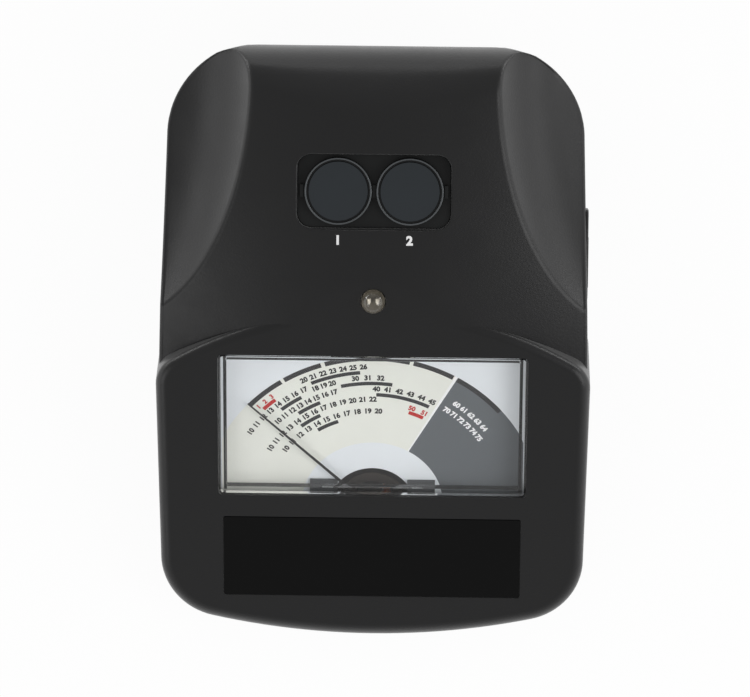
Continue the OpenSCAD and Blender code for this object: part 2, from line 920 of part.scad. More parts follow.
module meter_terminals() {
    color("#b79a56")
    on_panel()
        at(terminal_points) {
            rod(case_low - 5, case_floor + 1.2, 3);
            translate([0, 0, case_floor])
                cylinder(h = 1.2, d = 6, $fn = 6);
            translate([0, 0, case_low - 2])
                cylinder(h = 2, d = 6, $fn = 6);
        }
}

module main_board() {
    color("#2f5d3a")
    difference() {
        block([board_x0, board_x1], [board_y0, board_y1], [board_z, board_top]);
        at(board_posts)
            rod(board_z - 1, board_top + 1, 2.2);
        for (x = [-1.27, 1.27])
            translate([x, lamp_y, 0])
                rod(board_z - 1, board_top + 1, 0.5);
        for (x = [-lead_x, lead_x])
            translate([x, lead_y, 0])
                rod(board_z - 1, board_top + 1, 2 * lead_r + 0.2);
    }
}

module board_screws() {
    color("#8a8d90")
    at(board_posts)
        difference() {
            union() {
                rod(board_top, board_top + 1.4, 4);
                rod(board_z - 4.5, board_top + 0.5, 1.8);
            }
            block([-3, 3], [-0.3, 0.3], [board_top + 0.8, board_top + 2]);
        }
}

chip_y = (board_y0 + board_y1) / 2 + 2;

module measuring_chip() {
    color("#242528")
    translate([-6, chip_y, board_top]) {
        block([-8, 8], [-3.6, 3.6], [0.5, 3.2]);
        for (i = [0:6], s = [-1, 1])
            block([-7.2 + 2.3 * i - 0.25, -7.2 + 2.3 * i + 0.35], [s * 4.4 - 0.9, s * 4.4 + 0.9], [0, 1.6]);
    }
}

module capacitors() {
    color("#2c3b55")
    for (p = [[14, chip_y - 4], [14, chip_y + 4], [-22, chip_y + 3]])
        translate([p[0], p[1], 0])
            rod(board_top, board_top + 8, 6.3);
}

module calibration_trimmer() {
    color("#3d6ea5")
    translate([-22, chip_y - 10, board_top])
        difference() {
            union() {
                block([-4, 4], [-4, 4], [0, 4]);
                rod(3.5, 5, 5);
            }
            block([-2, 2], [-0.4, 0.4], [4.3, 6]);
        }
}

module power_switch_body() {
    color("#9b9ea1")
    difference() {
        block([switch_x1 - 11, switch_x1], [knob_y - 7, knob_y + switch_travel + 7], [board_top, board_top + 5.2]);
        block([switch_x1 - 4, switch_x1 + 1], [knob_y - 2.3, knob_y + switch_travel + 2.3],
            [knob_z - 1.2, knob_z + 1.2]);
    }
}

module power_switch_knob() {
    color("#1d1e1f")
    difference() {
        union() {
            block([recess_x + 0.3, knob_x], [knob_y - knob_l / 2, knob_y + knob_l / 2],
                [knob_z - knob_h / 2, knob_z + knob_h / 2]);
            block([switch_x1 - 3.6, recess_x + 1], [knob_y - 2, knob_y + 2], [knob_z - 1.2, knob_z + 1.2]);
        }
        for (i = [-2:2])
            block([knob_x - 0.4, knob_x + 1], [knob_y + 2 * i - 0.35, knob_y + 2 * i + 0.35],
                [knob_z - knob_h / 2 + 0.6, knob_z + knob_h / 2 - 0.6]);
    }
}

module probe_socket() {
    color("#2a2a2c")
    translate([probe_x, 0, 0])
        difference() {
            union() {
                block([-5.5, 5.5], [board_y1 - 12, board_y1 + 1], [board_top, board_top + 7.2]);
                translate([0, board_y1, socket_z])
                    rotate([-90, 0, 0])
                        rod(0, y_rear - 1.6 - board_y1, 6.4);
            }
            translate([0, y_rear - 16, socket_z])
                rotate([-90, 0, 0])
                    rod(0, 20, socket_bore);
        }
}

module power_socket() {
    color("#2a2a2c")
    translate([power_x, 0, 0])
        difference() {
            block([-4.5, 4.5], [board_y1 - 10, y_rear - 2.2], [board_top, board_top + 7.2]);
            translate([0, y_rear - 12, socket_z])
                rotate([-90, 0, 0])
                    rod(0, 20, 5.5);
            block([-6, 6], [board_y1 - 4, board_y1 - 3], [board_top + 6.4, board_top + 8]);
        }
    color("#b9bcbf")
    translate([power_x, 0, socket_z])
        rotate([-90, 0, 0])
            rod(y_rear - 12.5, y_rear - 3, 1.9);
}

cell_z = floor_top + 0.3 + cell_d / 2;
cell_x = [for (i = [0:3]) (i - 1.5) * cell_pitch];

module battery_cells() {
    for (i = [0:3])
        color(i % 2 == 0 ? "#5a6a78" : "#66757f")
        translate([cell_x[i], bay_y0 + bay_l / 2, cell_z])
            rotate([i % 2 == 0 ? 90 : -90, 0, 0]) {
                rod(-cell_l / 2, cell_l / 2 - 1.2, cell_d);
                rod(cell_l / 2 - 1.5, cell_l / 2, 5.4);
            }
}

// Bent leaf that bridges the gap between the bay wall and a cell
module leaf(x) {
    gap = (bay_l - cell_l) / 2;
    translate([x - 2.5, 0, cell_z])
        rotate([90, 0, 90])
            linear_extrude(5)
                difference() {
                    translate([gap / 2, 0])
                        circle(d = gap);
                    translate([gap / 2, 0])
                        circle(d = gap - 0.7);
                    translate([-1, -gap])
                        square([gap + 2, gap - 0.6]);
                }
}

module contact_row() {
    for (pair = [[0, 1], [2, 3]]) {
        x0 = cell_x[pair[0]] - 4;
        x1 = cell_x[pair[1]] + 4;
        block([x0, x1], [0, 0.4], [cell_z - 4, cell_z + 4]);
        leaf(cell_x[pair[0]]);
        leaf(cell_x[pair[1]]);
    }
}

module battery_contacts() {
    color("#c4c7ca") {
        translate([0, bay_y0, 0])
            contact_row();
        translate([0, bay_y1, 0])
            mirror([0, 1, 0])
                contact_row();
    }
}

lead_r = 0.6;
lead_x = bay_half + bay_wall + lead_r + 1;
lead_y = board_y0 + 3;

// Point below the end of a meter terminal, d from it
function terminal_end(s, d) = [
    s * terminal_points[1][0],
    win_y + terminal_points[1][1] * cos(panel_slope) - (case_low - 5 - d) * sin(panel_slope),
    panel_z(win_y) + terminal_points[1][1] * sin(panel_slope) + (case_low - 5 - d) * cos(panel_slope)
];

module internal_leads() {
    for (s = [-1, 1])
        color(s < 0 ? "#8c2a22" : "#202020")
            wire([
                terminal_end(s, 0),
                terminal_end(s, 2),
                [s * lead_x, terminal_end(s, 2)[1] + 2, terminal_end(s, 2)[2]],
                [s * lead_x, lead_y, terminal_end(s, 2)[2]],
                [s * lead_x, lead_y, board_top + 0.8]
            ], lead_r);
}

upper_housing();
lower_housing();
battery_door();
housing_screws();
rubber_feet();
name_plate();
disc_tray();
reference_disc_left();
reference_disc_right();
disc_rings();
ready_lamp();
lamp_leads();
lamp_spacer();
meter_cover();
meter_case();
meter_screws();
dial_plate();
dial_screws();
dial_clamps();
needle();
coil_bobbin();
coil_winding();
coil_pivots();
upper_hairspring();
lower_hairspring();
upper_jewel_screw();
lower_jewel_screw();
core_magnet();
yoke_ring();
meter_frame();
upper_bridge();
meter_terminals();
main_board();
board_screws();
measuring_chip();
capacitors();
calibration_trimmer();
power_switch_body();
power_switch_knob();
probe_socket();
power_socket();
battery_contacts();
battery_cells();
internal_leads();
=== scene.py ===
"""Looks of a desk gemstone tester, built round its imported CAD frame.

The script loads the frame, gives every CAD node a procedural finish, stands a smooth
skin in for the moulded upper housing, prints the dial and sets up a plain studio.
"""

from __future__ import annotations

import json
import logging
import math
from dataclasses import dataclass, field
from enum import Enum
from typing import Any, Iterable, Sequence

import bmesh
import bpy
from mathutils import Matrix, Vector

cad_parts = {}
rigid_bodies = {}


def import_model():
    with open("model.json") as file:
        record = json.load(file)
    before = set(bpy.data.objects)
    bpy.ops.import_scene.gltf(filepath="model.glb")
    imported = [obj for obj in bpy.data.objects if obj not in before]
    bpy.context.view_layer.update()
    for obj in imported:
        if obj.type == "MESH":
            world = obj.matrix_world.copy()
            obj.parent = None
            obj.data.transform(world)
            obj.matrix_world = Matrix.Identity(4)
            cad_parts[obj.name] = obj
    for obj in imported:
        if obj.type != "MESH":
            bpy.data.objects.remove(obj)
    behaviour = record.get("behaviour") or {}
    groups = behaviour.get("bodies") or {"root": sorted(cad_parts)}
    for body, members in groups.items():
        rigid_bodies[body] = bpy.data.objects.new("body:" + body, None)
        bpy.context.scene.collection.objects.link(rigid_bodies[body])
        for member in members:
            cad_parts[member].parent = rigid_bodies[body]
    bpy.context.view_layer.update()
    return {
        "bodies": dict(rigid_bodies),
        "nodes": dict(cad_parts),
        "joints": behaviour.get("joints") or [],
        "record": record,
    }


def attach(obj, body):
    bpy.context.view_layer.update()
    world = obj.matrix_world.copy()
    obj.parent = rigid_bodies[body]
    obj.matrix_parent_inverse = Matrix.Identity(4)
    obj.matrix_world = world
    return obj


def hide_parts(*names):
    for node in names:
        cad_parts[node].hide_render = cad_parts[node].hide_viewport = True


LOG = logging.getLogger("tester")
MM = 0.001
ROOT_BODY = "tester_body"
NUMBER_WEIGHT = 0.05
NUMBER_DEPTH = 0.005
NUMBER_STEPS = 3
Colour = tuple[float, float, float]
Pair = tuple[float, float]
Triple = tuple[float, float, float]
Rings = Sequence[Sequence[Vector]]
Socket = bpy.types.NodeSocket


def linear(level: float) -> float:
    """Returns one sRGB channel, given in 0 to 255, in linear light."""
    part = level / 255.0
    return part / 12.92 if part <= 0.04045 else ((part + 0.055) / 1.055) ** 2.4


def srgb(red: float, green: float, blue: float) -> Colour:
    """Returns the linear colour of an sRGB triple given in 0 to 255."""
    return linear(red), linear(green), linear(blue)


def smooth_min(first: float, second: float, reach: float) -> float:
    """Returns the smaller of two heights, blended where they differ by less than reach."""
    blend = max(reach - abs(first - second), 0.0) / reach
    return min(first, second) - blend * blend * reach / 4


class Grain(Enum):
    """Kinds of fine relief that a finish carries."""

    MOULDED = (1.0, 1.0, 1.0)
    BRUSHED = (1.0, 14.0, 1.0)
    TURNED = (12.0, 12.0, 1.0)
    WOUND = (1.0, 1.0, 9.0)


class Join(Enum):
    """Ways to combine two closed solids."""

    UNION = "UNION"
    CUT = "DIFFERENCE"


class NodeSheet:
    """Node tree of one material while it is being built."""

    MIX_FACTOR = 0
    MIX_LOW = 6
    MIX_HIGH = 7
    MIX_COLOUR = 2

    def __init__(self, name: str) -> None:
        """Starts an empty node tree with an output node.

        Args:
            name: Name of the material.
        """
        self.material = bpy.data.materials.new(name)
        self.material.use_nodes = True
        self.tree = self.material.node_tree
        self.tree.nodes.clear()
        self.output = self.node("ShaderNodeOutputMaterial")

    def node(self, kind: str, **inputs: Any) -> bpy.types.Node:
        """Adds a node and sets some of its inputs.

        Args:
            kind: Blender's name of the node's type.
            **inputs: Values by socket name, with underscores for spaces.

        Returns:
            The new node.
        """
        made = self.tree.nodes.new(kind)
        for key, value in inputs.items():
            made.inputs[key.replace("_", " ")].default_value = value
        return made

    def link(self, source: Socket, target: Socket) -> None:
        """Joins two sockets."""
        self.tree.links.new(source, target)

    def surface(self, shader: Socket) -> None:
        """Makes a shader the surface of the material."""
        self.link(shader, self.output.inputs["Surface"])

    def blend(self, factor: Socket, low: Colour, high: Colour | Socket) -> Socket:
        """Adds a colour mix.

        Args:
            factor: Socket that drives the mix.
            low: Colour at 0.
            high: Colour at 1, or the socket that gives it.

        Returns:
            The socket of the mixed colour.
        """
        mix = self.tree.nodes.new("ShaderNodeMix")
        mix.data_type = "RGBA"
        mix.inputs[self.MIX_LOW].default_value = (*low, 1.0)
        if isinstance(high, Socket):
            self.link(high, mix.inputs[self.MIX_HIGH])
        else:
            mix.inputs[self.MIX_HIGH].default_value = (*high, 1.0)
        self.link(factor, mix.inputs[self.MIX_FACTOR])
        return mix.outputs[self.MIX_COLOUR]

    def mix(self, factor: Socket, low: Socket, high: Socket) -> Socket:
        """Adds a mix of two shaders.

        Args:
            factor: Socket that drives the mix.
            low: Shader at 0.
            high: Shader at 1.

        Returns:
            The socket of the mixed shader.
        """
        made = self.node("ShaderNodeMixShader")
        for source, target in zip((factor, low, high), made.inputs):
            self.link(source, target)
        return made.outputs["Shader"]

    def spread(self, source: Socket, low: float, high: float, span: Pair = (0.3, 0.7)) -> Socket:
        """Maps a value from a span to low and high.

        Args:
            source: Socket of the value.
            low: Result at the span's start.
            high: Result at the span's end.
            span: Values of the source at the two ends.

        Returns:
            The socket of the mapped value.
        """
        made = self.node("ShaderNodeMapRange", From_Min=span[0], From_Max=span[1], To_Min=low, To_Max=high)
        self.link(source, made.inputs["Value"])
        return made.outputs["Result"]


@dataclass(frozen=True)
class Finish:
    """Opaque surface with mottled colour, uneven sheen and fine relief."""

    name: str
    colour: Colour
    roughness: float = 0.5
    metallic: float = 0.0
    mottle: float = 0.12
    wear: float = 0.06
    grain: Grain = Grain.MOULDED
    grain_scale: float = 1500.0
    relief: float = 0.12
    patch_scale: float = 90.0
    specular: float = 0.5
    coat: float = 0.0
    sheen: float = 0.0

    def shade(self, share: float) -> Colour:
        """Returns the colour scaled by a share."""
        return tuple(min(1.0, part * share) for part in self.colour)

    def tint(self, sheet: NodeSheet, place: bpy.types.Node, patch: Socket) -> Socket:
        """Adds the colour, mottled by patch, and returns its socket."""
        factor = sheet.spread(patch, 0.0, 1.0)
        return sheet.blend(factor, self.shade(1.0 - self.mottle), self.shade(1.0 + self.mottle))

    def material(self) -> bpy.types.Material:
        """Builds the material of this finish.

        Returns:
            The new material.
        """
        sheet = NodeSheet(self.name)
        place = sheet.node("ShaderNodeTexCoord")
        noise = sheet.node("ShaderNodeTexNoise", Scale=self.patch_scale, Detail=4.0, Roughness=0.6)
        sheet.link(place.outputs["Object"], noise.inputs["Vector"])
        patch = noise.outputs["Fac"]
        stretch = sheet.node("ShaderNodeMapping", Scale=self.grain.value)
        sheet.link(place.outputs["Object"], stretch.inputs["Vector"])
        grain = sheet.node("ShaderNodeTexNoise", Scale=self.grain_scale, Detail=2.5, Roughness=0.55)
        sheet.link(stretch.outputs["Vector"], grain.inputs["Vector"])
        bump = sheet.node("ShaderNodeBump", Strength=self.relief, Distance=0.0002)
        sheet.link(grain.outputs["Fac"], bump.inputs["Height"])
        body = sheet.node(
            "ShaderNodeBsdfPrincipled",
            Metallic=self.metallic,
            Specular_IOR_Level=self.specular,
            Coat_Weight=self.coat,
            Sheen_Weight=self.sheen,
            Coat_Roughness=0.2,
        )
        sheet.link(self.tint(sheet, place, patch), body.inputs["Base Color"])
        rough = sheet.spread(patch, self.roughness + self.wear, self.roughness - self.wear)
        sheet.link(rough, body.inputs["Roughness"])
        sheet.link(bump.outputs["Normal"], body.inputs["Normal"])
        sheet.surface(body.outputs["BSDF"])
        return sheet.material


@dataclass(frozen=True)
class GrooveShadeFinish(Finish):
    """Finish with painted shade on its lower faces, darker below a cut, standing in for the shade in the
    channel under the lip.
    """

    # painted shade: dark colour of the shaded channel under the lip
    painted_groove_shade: Colour = srgb(27, 28, 29)
    cut: float = 0.84
    soft: float = 0.02

    def tint(self, sheet: NodeSheet, place: bpy.types.Node, patch: Socket) -> Socket:
        """Adds the mottled colour above the cut and the painted shade colour below it.

        Args:
            sheet: Node tree of the material.
            place: Node that gives the coordinates.
            patch: Socket that gives the mottling.

        Returns:
            The socket of the colour.
        """
        # below the cut the colour is painted shade, not the metal's own colour
        split = sheet.node("ShaderNodeSeparateXYZ")
        sheet.link(place.outputs["Generated"], split.inputs["Vector"])
        factor = sheet.spread(split.outputs["Z"], 0.0, 1.0, (self.cut - self.soft, self.cut + self.soft))
        return sheet.blend(factor, self.painted_groove_shade, super().tint(sheet, place, patch))


@dataclass(frozen=True)
class ClearFinish(Finish):
    """Clear moulding that lets lamps through to what lies behind it."""

    ior: float = 1.5

    def material(self) -> bpy.types.Material:
        """Builds the clear material, open to shadow rays.

        Returns:
            The new material.
        """
        sheet = NodeSheet(self.name)
        place = sheet.node("ShaderNodeTexCoord")
        noise = sheet.node("ShaderNodeTexNoise", Scale=self.patch_scale, Detail=3.0)
        sheet.link(place.outputs["Object"], noise.inputs["Vector"])
        patch = noise.outputs["Fac"]
        body = sheet.node("ShaderNodeBsdfPrincipled", IOR=self.ior, Transmission_Weight=1.0)
        colour = sheet.blend(patch, self.shade(1.0 - self.mottle), self.shade(1.0))
        sheet.link(colour, body.inputs["Base Color"])
        rough = sheet.spread(patch, self.roughness, self.roughness + self.wear)
        sheet.link(rough, body.inputs["Roughness"])
        bump = sheet.node("ShaderNodeBump", Strength=self.relief, Distance=0.0001)
        sheet.link(patch, bump.inputs["Height"])
        sheet.link(bump.outputs["Normal"], body.inputs["Normal"])
        open_way = sheet.node("ShaderNodeBsdfTransparent", Color=(*self.shade(1.0), 1.0))
        shadow = sheet.node("ShaderNodeLightPath").outputs["Is Shadow Ray"]
        sheet.surface(sheet.mix(shadow, body.outputs["BSDF"], open_way.outputs["BSDF"]))
        return sheet.material


FINISHES: dict[str, Finish] = {
    finish.name: finish
    for finish in (
        Finish(
            "housing_black",
            srgb(12, 12, 13),
            0.35,
            relief=0.16,
            grain_scale=1700.0,
            specular=0.28,
            sheen=0.23,
        ),
        Finish("screw_steel", srgb(160, 162, 164), 0.34, 1.0, grain=Grain.TURNED, relief=0.2),
        Finish("foot_rubber", srgb(28, 28, 28), 0.78, relief=0.3),
        Finish("label_black", srgb(9, 9, 9), 0.4, relief=0.05, mottle=0.08, specular=0.1),
        Finish("tray_black", srgb(24, 25, 25), 0.42, relief=0.08, specular=0.2),
        Finish("disc_glass", srgb(36, 41, 45), 0.42, relief=0.03, mottle=0.06, specular=0.3),
        # ring_metal's lower faces carry painted shade
        GrooveShadeFinish("ring_metal", srgb(82, 85, 87), 0.4, 0.5, grain=Grain.TURNED, relief=0.06),
        ClearFinish("lamp_clear", srgb(232, 226, 214), 0.06, wear=0.05, relief=0.02),
        Finish("tinned_wire", srgb(190, 191, 192), 0.3, 1.0),
        Finish("inner_plastic", srgb(34, 34, 35), 0.5),
        ClearFinish(
            "cover_clear",
            srgb(255, 255, 255),
            0.015,
            wear=0.02,
            relief=0.008,
            patch_scale=40.0,
            mottle=0.005,
        ),
        Finish("dial_white", srgb(232, 237, 241), 0.62, mottle=0.02, relief=0.04),
        Finish("clamp_grey", srgb(74, 77, 79), 0.45, 0.3, relief=0.06),
        Finish("needle_black", srgb(13, 13, 14), 0.45, relief=0.05, specular=0.25),
        Finish("bobbin_aluminium", srgb(150, 146, 140), 0.4, 1.0),
        Finish("coil_copper", srgb(176, 92, 44), 0.36, 0.8, grain=Grain.WOUND, relief=0.5, mottle=0.25),
        Finish("pivot_steel", srgb(150, 151, 152), 0.25, 1.0),
        Finish("spring_bronze", srgb(196, 160, 84), 0.3, 1.0),
        Finish("brass_small", srgb(190, 160, 92), 0.34, 1.0, grain=Grain.TURNED),
        Finish("magnet_metal", srgb(60, 54, 50), 0.42, 0.7),
        Finish("yoke_iron", srgb(54, 47, 42), 0.46, 0.7, grain=Grain.TURNED),
        Finish("frame_grey", srgb(78, 72, 66), 0.5, 0.6, relief=0.2),
        Finish("board_green", srgb(40, 86, 52), 0.36, coat=0.3),
        Finish("chip_black", srgb(34, 34, 36), 0.55),
        Finish("capacitor_sleeve", srgb(40, 52, 78), 0.32),
        Finish("trimmer_blue", srgb(58, 104, 160), 0.4),
        Finish("switch_steel", srgb(150, 152, 154), 0.36, 1.0, grain=Grain.BRUSHED),
        Finish("knob_black", srgb(30, 30, 31), 0.48),
        Finish("contact_nickel", srgb(186, 185, 180), 0.28, 1.0, grain=Grain.BRUSHED),
        Finish("cell_sleeve", srgb(88, 100, 112), 0.34, 0.2),
        Finish("lead_sleeve", srgb(128, 40, 34), 0.45),
    )
}


class FinishBook:
    """Keeps one material per finish."""

    def __init__(self) -> None:
        """Starts with no material made."""
        self._made: dict[str, bpy.types.Material] = {}

    def of(self, finish: Finish) -> bpy.types.Material:
        """Finds the material of a finish, made on first use.

        Args:
            finish: Finish that is wanted.

        Returns:
            Its material.
        """
        if finish.name not in self._made:
            self._made[finish.name] = finish.material()
        return self._made[finish.name]

    def dress(self, obj: bpy.types.Object, finish: Finish) -> None:
        """Gives an object one finish."""
        obj.data.materials.clear()
        obj.data.materials.append(self.of(finish))

    def hang(self, obj: bpy.types.Object, finish: Finish, slot: str) -> None:
        """Dresses a piece and hangs it on the root body.

        Args:
            obj: Piece that is finished.
            finish: Finish that it wears.
            slot: Material slot of the part that it belongs to; not used.
        """
        self.dress(obj, finish)
        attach(obj, ROOT_BODY)
        LOG.info("piece %s on %s", obj.name, ROOT_BODY)


@dataclass(frozen=True)
class BodyForm:
    """Sizes of the moulded body, in millimetres and degrees."""

    body_w: float = 111.5
    body_l: float = 156.0
    rear_w: float = 107.0
    slope: float = 20.5
    front_h: float = 11.3
    split_drop: float = 4.0
    wall: float = 2.4
    edge_r: float = 3.0
    panel_l: float = 96.5
    spine_slope: float = 12.5
    crest_set: float = 16.0
    crown_r: float = 170.0
    roll_r: float = 16.0
    roll_lift: float = 0.15
    roll_soft: float = 3.0
    roll_soft_run: float = 8.0
    cove_r: float = 36.0
    ledge_drop: float = 25.3
    arch_r: float = 102.0
    arch_corner_r: float = 8.0
    arch_draft: float = 8.0
    front_arc_r: float = 190.0
    front_corner_r: float = 17.0
    rear_corner_r: float = 22.5
    rear_lean: float = 4.5
    win_w: float = 79.5
    win_h: float = 40.7
    win_set: float = 57.7
    form_set: float = 4.6
    side_set: float = 0.1
    pocket_set: float = 20.0
    pocket_depth: float = 4.5
    lamp_set: float = 4.9
    scoop_x: float = 197.2
    scoop_set: float = 12.8
    scoop_flat_r: float = 132.4
    plane_sink: float = 0.01
    spine_sink: float = 0.02
    spine_soft: float = 0.25
    least_soft: float = 0.02
    far_above: float = 50.0

    @property
    def y_front(self) -> float:
        """Front edge."""
        return -self.body_l / 2

    @property
    def y_rear(self) -> float:
        """Rear edge."""
        return self.body_l / 2

    @property
    def win_y(self) -> float:
        """Middle of the meter window."""
        return self.y_front + self.win_set

    @property
    def split_z(self) -> float:
        """Height of the seam between the two housings."""
        return self.front_h - self.split_drop

    @property
    def crest_y(self) -> float:
        """Highest place along the spine."""
        return self.y_rear - self.crest_set

    @property
    def spine_y(self) -> float:
        """Place where the spine leaves the panel."""
        return self.y_front + self.panel_l

    @property
    def spine_r(self) -> float:
        """Radius of the spine along the body."""
        return (self.crest_y - self.spine_y) / math.sin(math.radians(self.spine_slope))

    @property
    def top_z(self) -> float:
        """Height of the crest."""
        return self.panel_z(self.spine_y) + self.spine_r * (1 - math.cos(math.radians(self.spine_slope)))

    @property
    def ledge_z(self) -> float:
        """Height of the flank ledges."""
        return self.top_z - self.ledge_drop

    @property
    def roll_z(self) -> float:
        """Height of the rear roll's axis."""
        return self.top_z - self.roll_r + self.roll_lift

    @property
    def form_y(self) -> float:
        """Front end of the rear body, inside the plateau."""
        return self.win_y - self.form_set

    @property
    def turn_y(self) -> float:
        """Place where the rear corners start."""
        return self.y_rear - self.rear_corner_r

    @property
    def pocket_y(self) -> float:
        """Middle of the disc pocket."""
        return self.crest_y - self.pocket_set

    @property
    def pocket_z(self) -> float:
        """Floor of the disc pocket."""
        return self.top(0.0, self.pocket_y, 0.0) - self.pocket_depth

    @property
    def lamp_y(self) -> float:
        """Middle of the ready lamp."""
        return self.spine_y - self.lamp_set

    def panel_z(self, y: float) -> float:
        """Returns the height of the panel plane at y."""
        return self.front_h + (y - self.y_front) * math.tan(math.radians(self.slope))

    def half(self, y: float, inset: float) -> float:
        """Finds the half width of the rear body's plan.

        Args:
            y: Place along the body.
            inset: Distance inside the outer skin.

        Returns:
            The half width.
        """
        turn = self.turn_y
        if y > turn:
            reach = self.rear_corner_r - inset
            round_x = math.sqrt(max(reach * reach - (y - turn) ** 2, 0.0))
            return self.rear_w / 2 - self.rear_corner_r + round_x
        side = self.body_w / 2 - self.side_set
        return side - (side - self.rear_w / 2) * (y - self.form_y) / (turn - self.form_y) - inset

    def top(self, x: float, y: float, inset: float) -> float:
        """Finds the height of panel, spine and roll together, before the flanks are hollowed.

        Args:
            x: Place across the body.
            y: Place along the body.
            inset: Distance inside the outer skin.

        Returns:
            The height of the surface.
        """
        plane = self.panel_z(y) - inset / math.cos(math.radians(self.slope)) - self.plane_sink
        reach = self.spine_r - inset - self.crown_r + math.sqrt(self.crown_r**2 - x * x)
        along = math.sqrt(reach * reach - (y - self.crest_y) ** 2)
        height = smooth_min(plane, self.top_z - self.spine_sink - self.spine_r + along, self.spine_soft)
        past = y - (self.y_rear - self.roll_r)
        if past > 0.0:
            radius = self.roll_r - inset
            roll = self.roll_z + math.sqrt(max(radius * radius - past * past, 0.0))
            soft = self.roll_soft * min(past / self.roll_soft_run, 1.0)
            height = smooth_min(height, roll, max(soft, self.least_soft))
        return height

    def hollow(self, x: float, y: float, inset: float) -> float:
        """Finds the height of the hollowed flank, far above the body where it isn't hollowed.

        Args:
            x: Place across the body.
            y: Place along the body.
            inset: Distance inside the outer skin.

        Returns:
            The height of the hollow's surface.
        """
        ring = math.hypot(self.scoop_x - abs(x), self.crest_y + self.scoop_set - y) - self.scoop_flat_r
        radius = self.cove_r + inset
        if ring <= 0.0:
            return self.ledge_z - inset
        if ring >= radius:
            return self.top_z + self.far_above
        return self.ledge_z + self.cove_r - math.sqrt(radius * radius - ring * ring)

    def leaned(self, x: float, y: float, z: float) -> Vector:
        """Moves a place with the lean of the rear walls.

        Args:
            x: Place across the body.
            y: Place along the body before the lean.
            z: Height.

        Returns:
            The place in metres.
        """
        low = min(max((self.roll_z - z) / (self.roll_z - self.split_z), 0.0), 1.0)
        back = min(max((y - self.form_y) / (self.turn_y - self.form_y), 0.0), 1.0)
        return Vector((x, y - self.rear_lean * low * back, z)) * MM


@dataclass(frozen=True)
class PanelFrame:
    """Frame of the sloped meter panel: u across, v up the slope, w out of the face."""

    form: BodyForm

    def point(self, u: float, v: float, w: float) -> Vector:
        """Finds a place of the panel.

        Args:
            u: Distance across.
            v: Distance up the slope.
            w: Distance out of the face.

        Returns:
            The place in metres.
        """
        tilt = math.radians(self.form.slope)
        y = self.form.win_y + v * math.cos(tilt) - w * math.sin(tilt)
        z = self.form.panel_z(self.form.win_y) + v * math.sin(tilt) + w * math.cos(tilt)
        return Vector((u, y, z)) * MM

    def prism(self, outline: Sequence[Pair], low: float, high: float) -> Rings:
        """Returns the two rings of a prism square to the panel."""
        return [[self.point(u, v, w) for u, v in outline] for w in (low, high)]

    def matrix(self, u: float, v: float, w: float, turn: float) -> Matrix:
        """Returns the placement at a point of the panel, turned about its normal."""
        tilt = Matrix.Rotation(math.radians(self.form.slope), 4, "X")
        return Matrix.Translation(self.point(u, v, w)) @ tilt @ Matrix.Rotation(turn, 4, "Z")


def arc(centre: Pair, radius: float, start: float, end: float, steps: int) -> list[Pair]:
    """Returns points on an arc, with angles in degrees."""
    angles = (math.radians(start + (end - start) * i / steps) for i in range(steps + 1))
    return [(centre[0] + radius * math.cos(a), centre[1] + radius * math.sin(a)) for a in angles]


def circle(radius: float, sides: int = 36, centre: Pair = (0.0, 0.0)) -> list[Pair]:
    """Returns the outline of a circle."""
    return arc(centre, radius, 0.0, 360.0 - 360.0 / sides, sides - 1)


def rounded_rect(width: float, length: float, radius: float, steps: int = 6) -> list[Pair]:
    """Draws a rectangle with round corners about the origin.

    Args:
        width: Size across.
        length: Size along.
        radius: Radius of the corners.
        steps: Steps of each corner.

    Returns:
        The outline.
    """
    x, y = width / 2 - radius, length / 2 - radius
    corners = (((x, y), 0.0), ((-x, y), 90.0), ((-x, -y), 180.0), ((x, -y), 270.0))
    return [p for corner, start in corners for p in arc(corner, radius, start, start + 90.0, steps)]


def upright(outline: Sequence[Pair], low: float, high: float, spot: Pair) -> Rings:
    """Returns the two rings of an upright prism about a spot, in metres."""
    shift = Vector((*spot, 0.0))
    return [[(Vector((x, y, z)) + shift) * MM for x, y in outline] for z in (low, high)]


def linked(name: str, mesh: bmesh.types.BMesh) -> bpy.types.Object:
    """Turns a mesh under construction into an object of the scene.

    Args:
        name: Name of the object.
        mesh: Mesh that is used up.

    Returns:
        The new object.
    """
    data = bpy.data.meshes.new(name)
    mesh.to_mesh(data)
    mesh.free()
    obj = bpy.data.objects.new(name, data)
    bpy.context.scene.collection.objects.link(obj)
    return obj


def shade(obj: bpy.types.Object, angle: float) -> None:
    """Shades an object round.

    Args:
        obj: Object that is shaded.
        angle: Fold in degrees above which an edge stays sharp.
    """
    for face in obj.data.polygons:
        face.use_smooth = True
    obj.data.set_sharp_from_angle(angle=math.radians(angle))


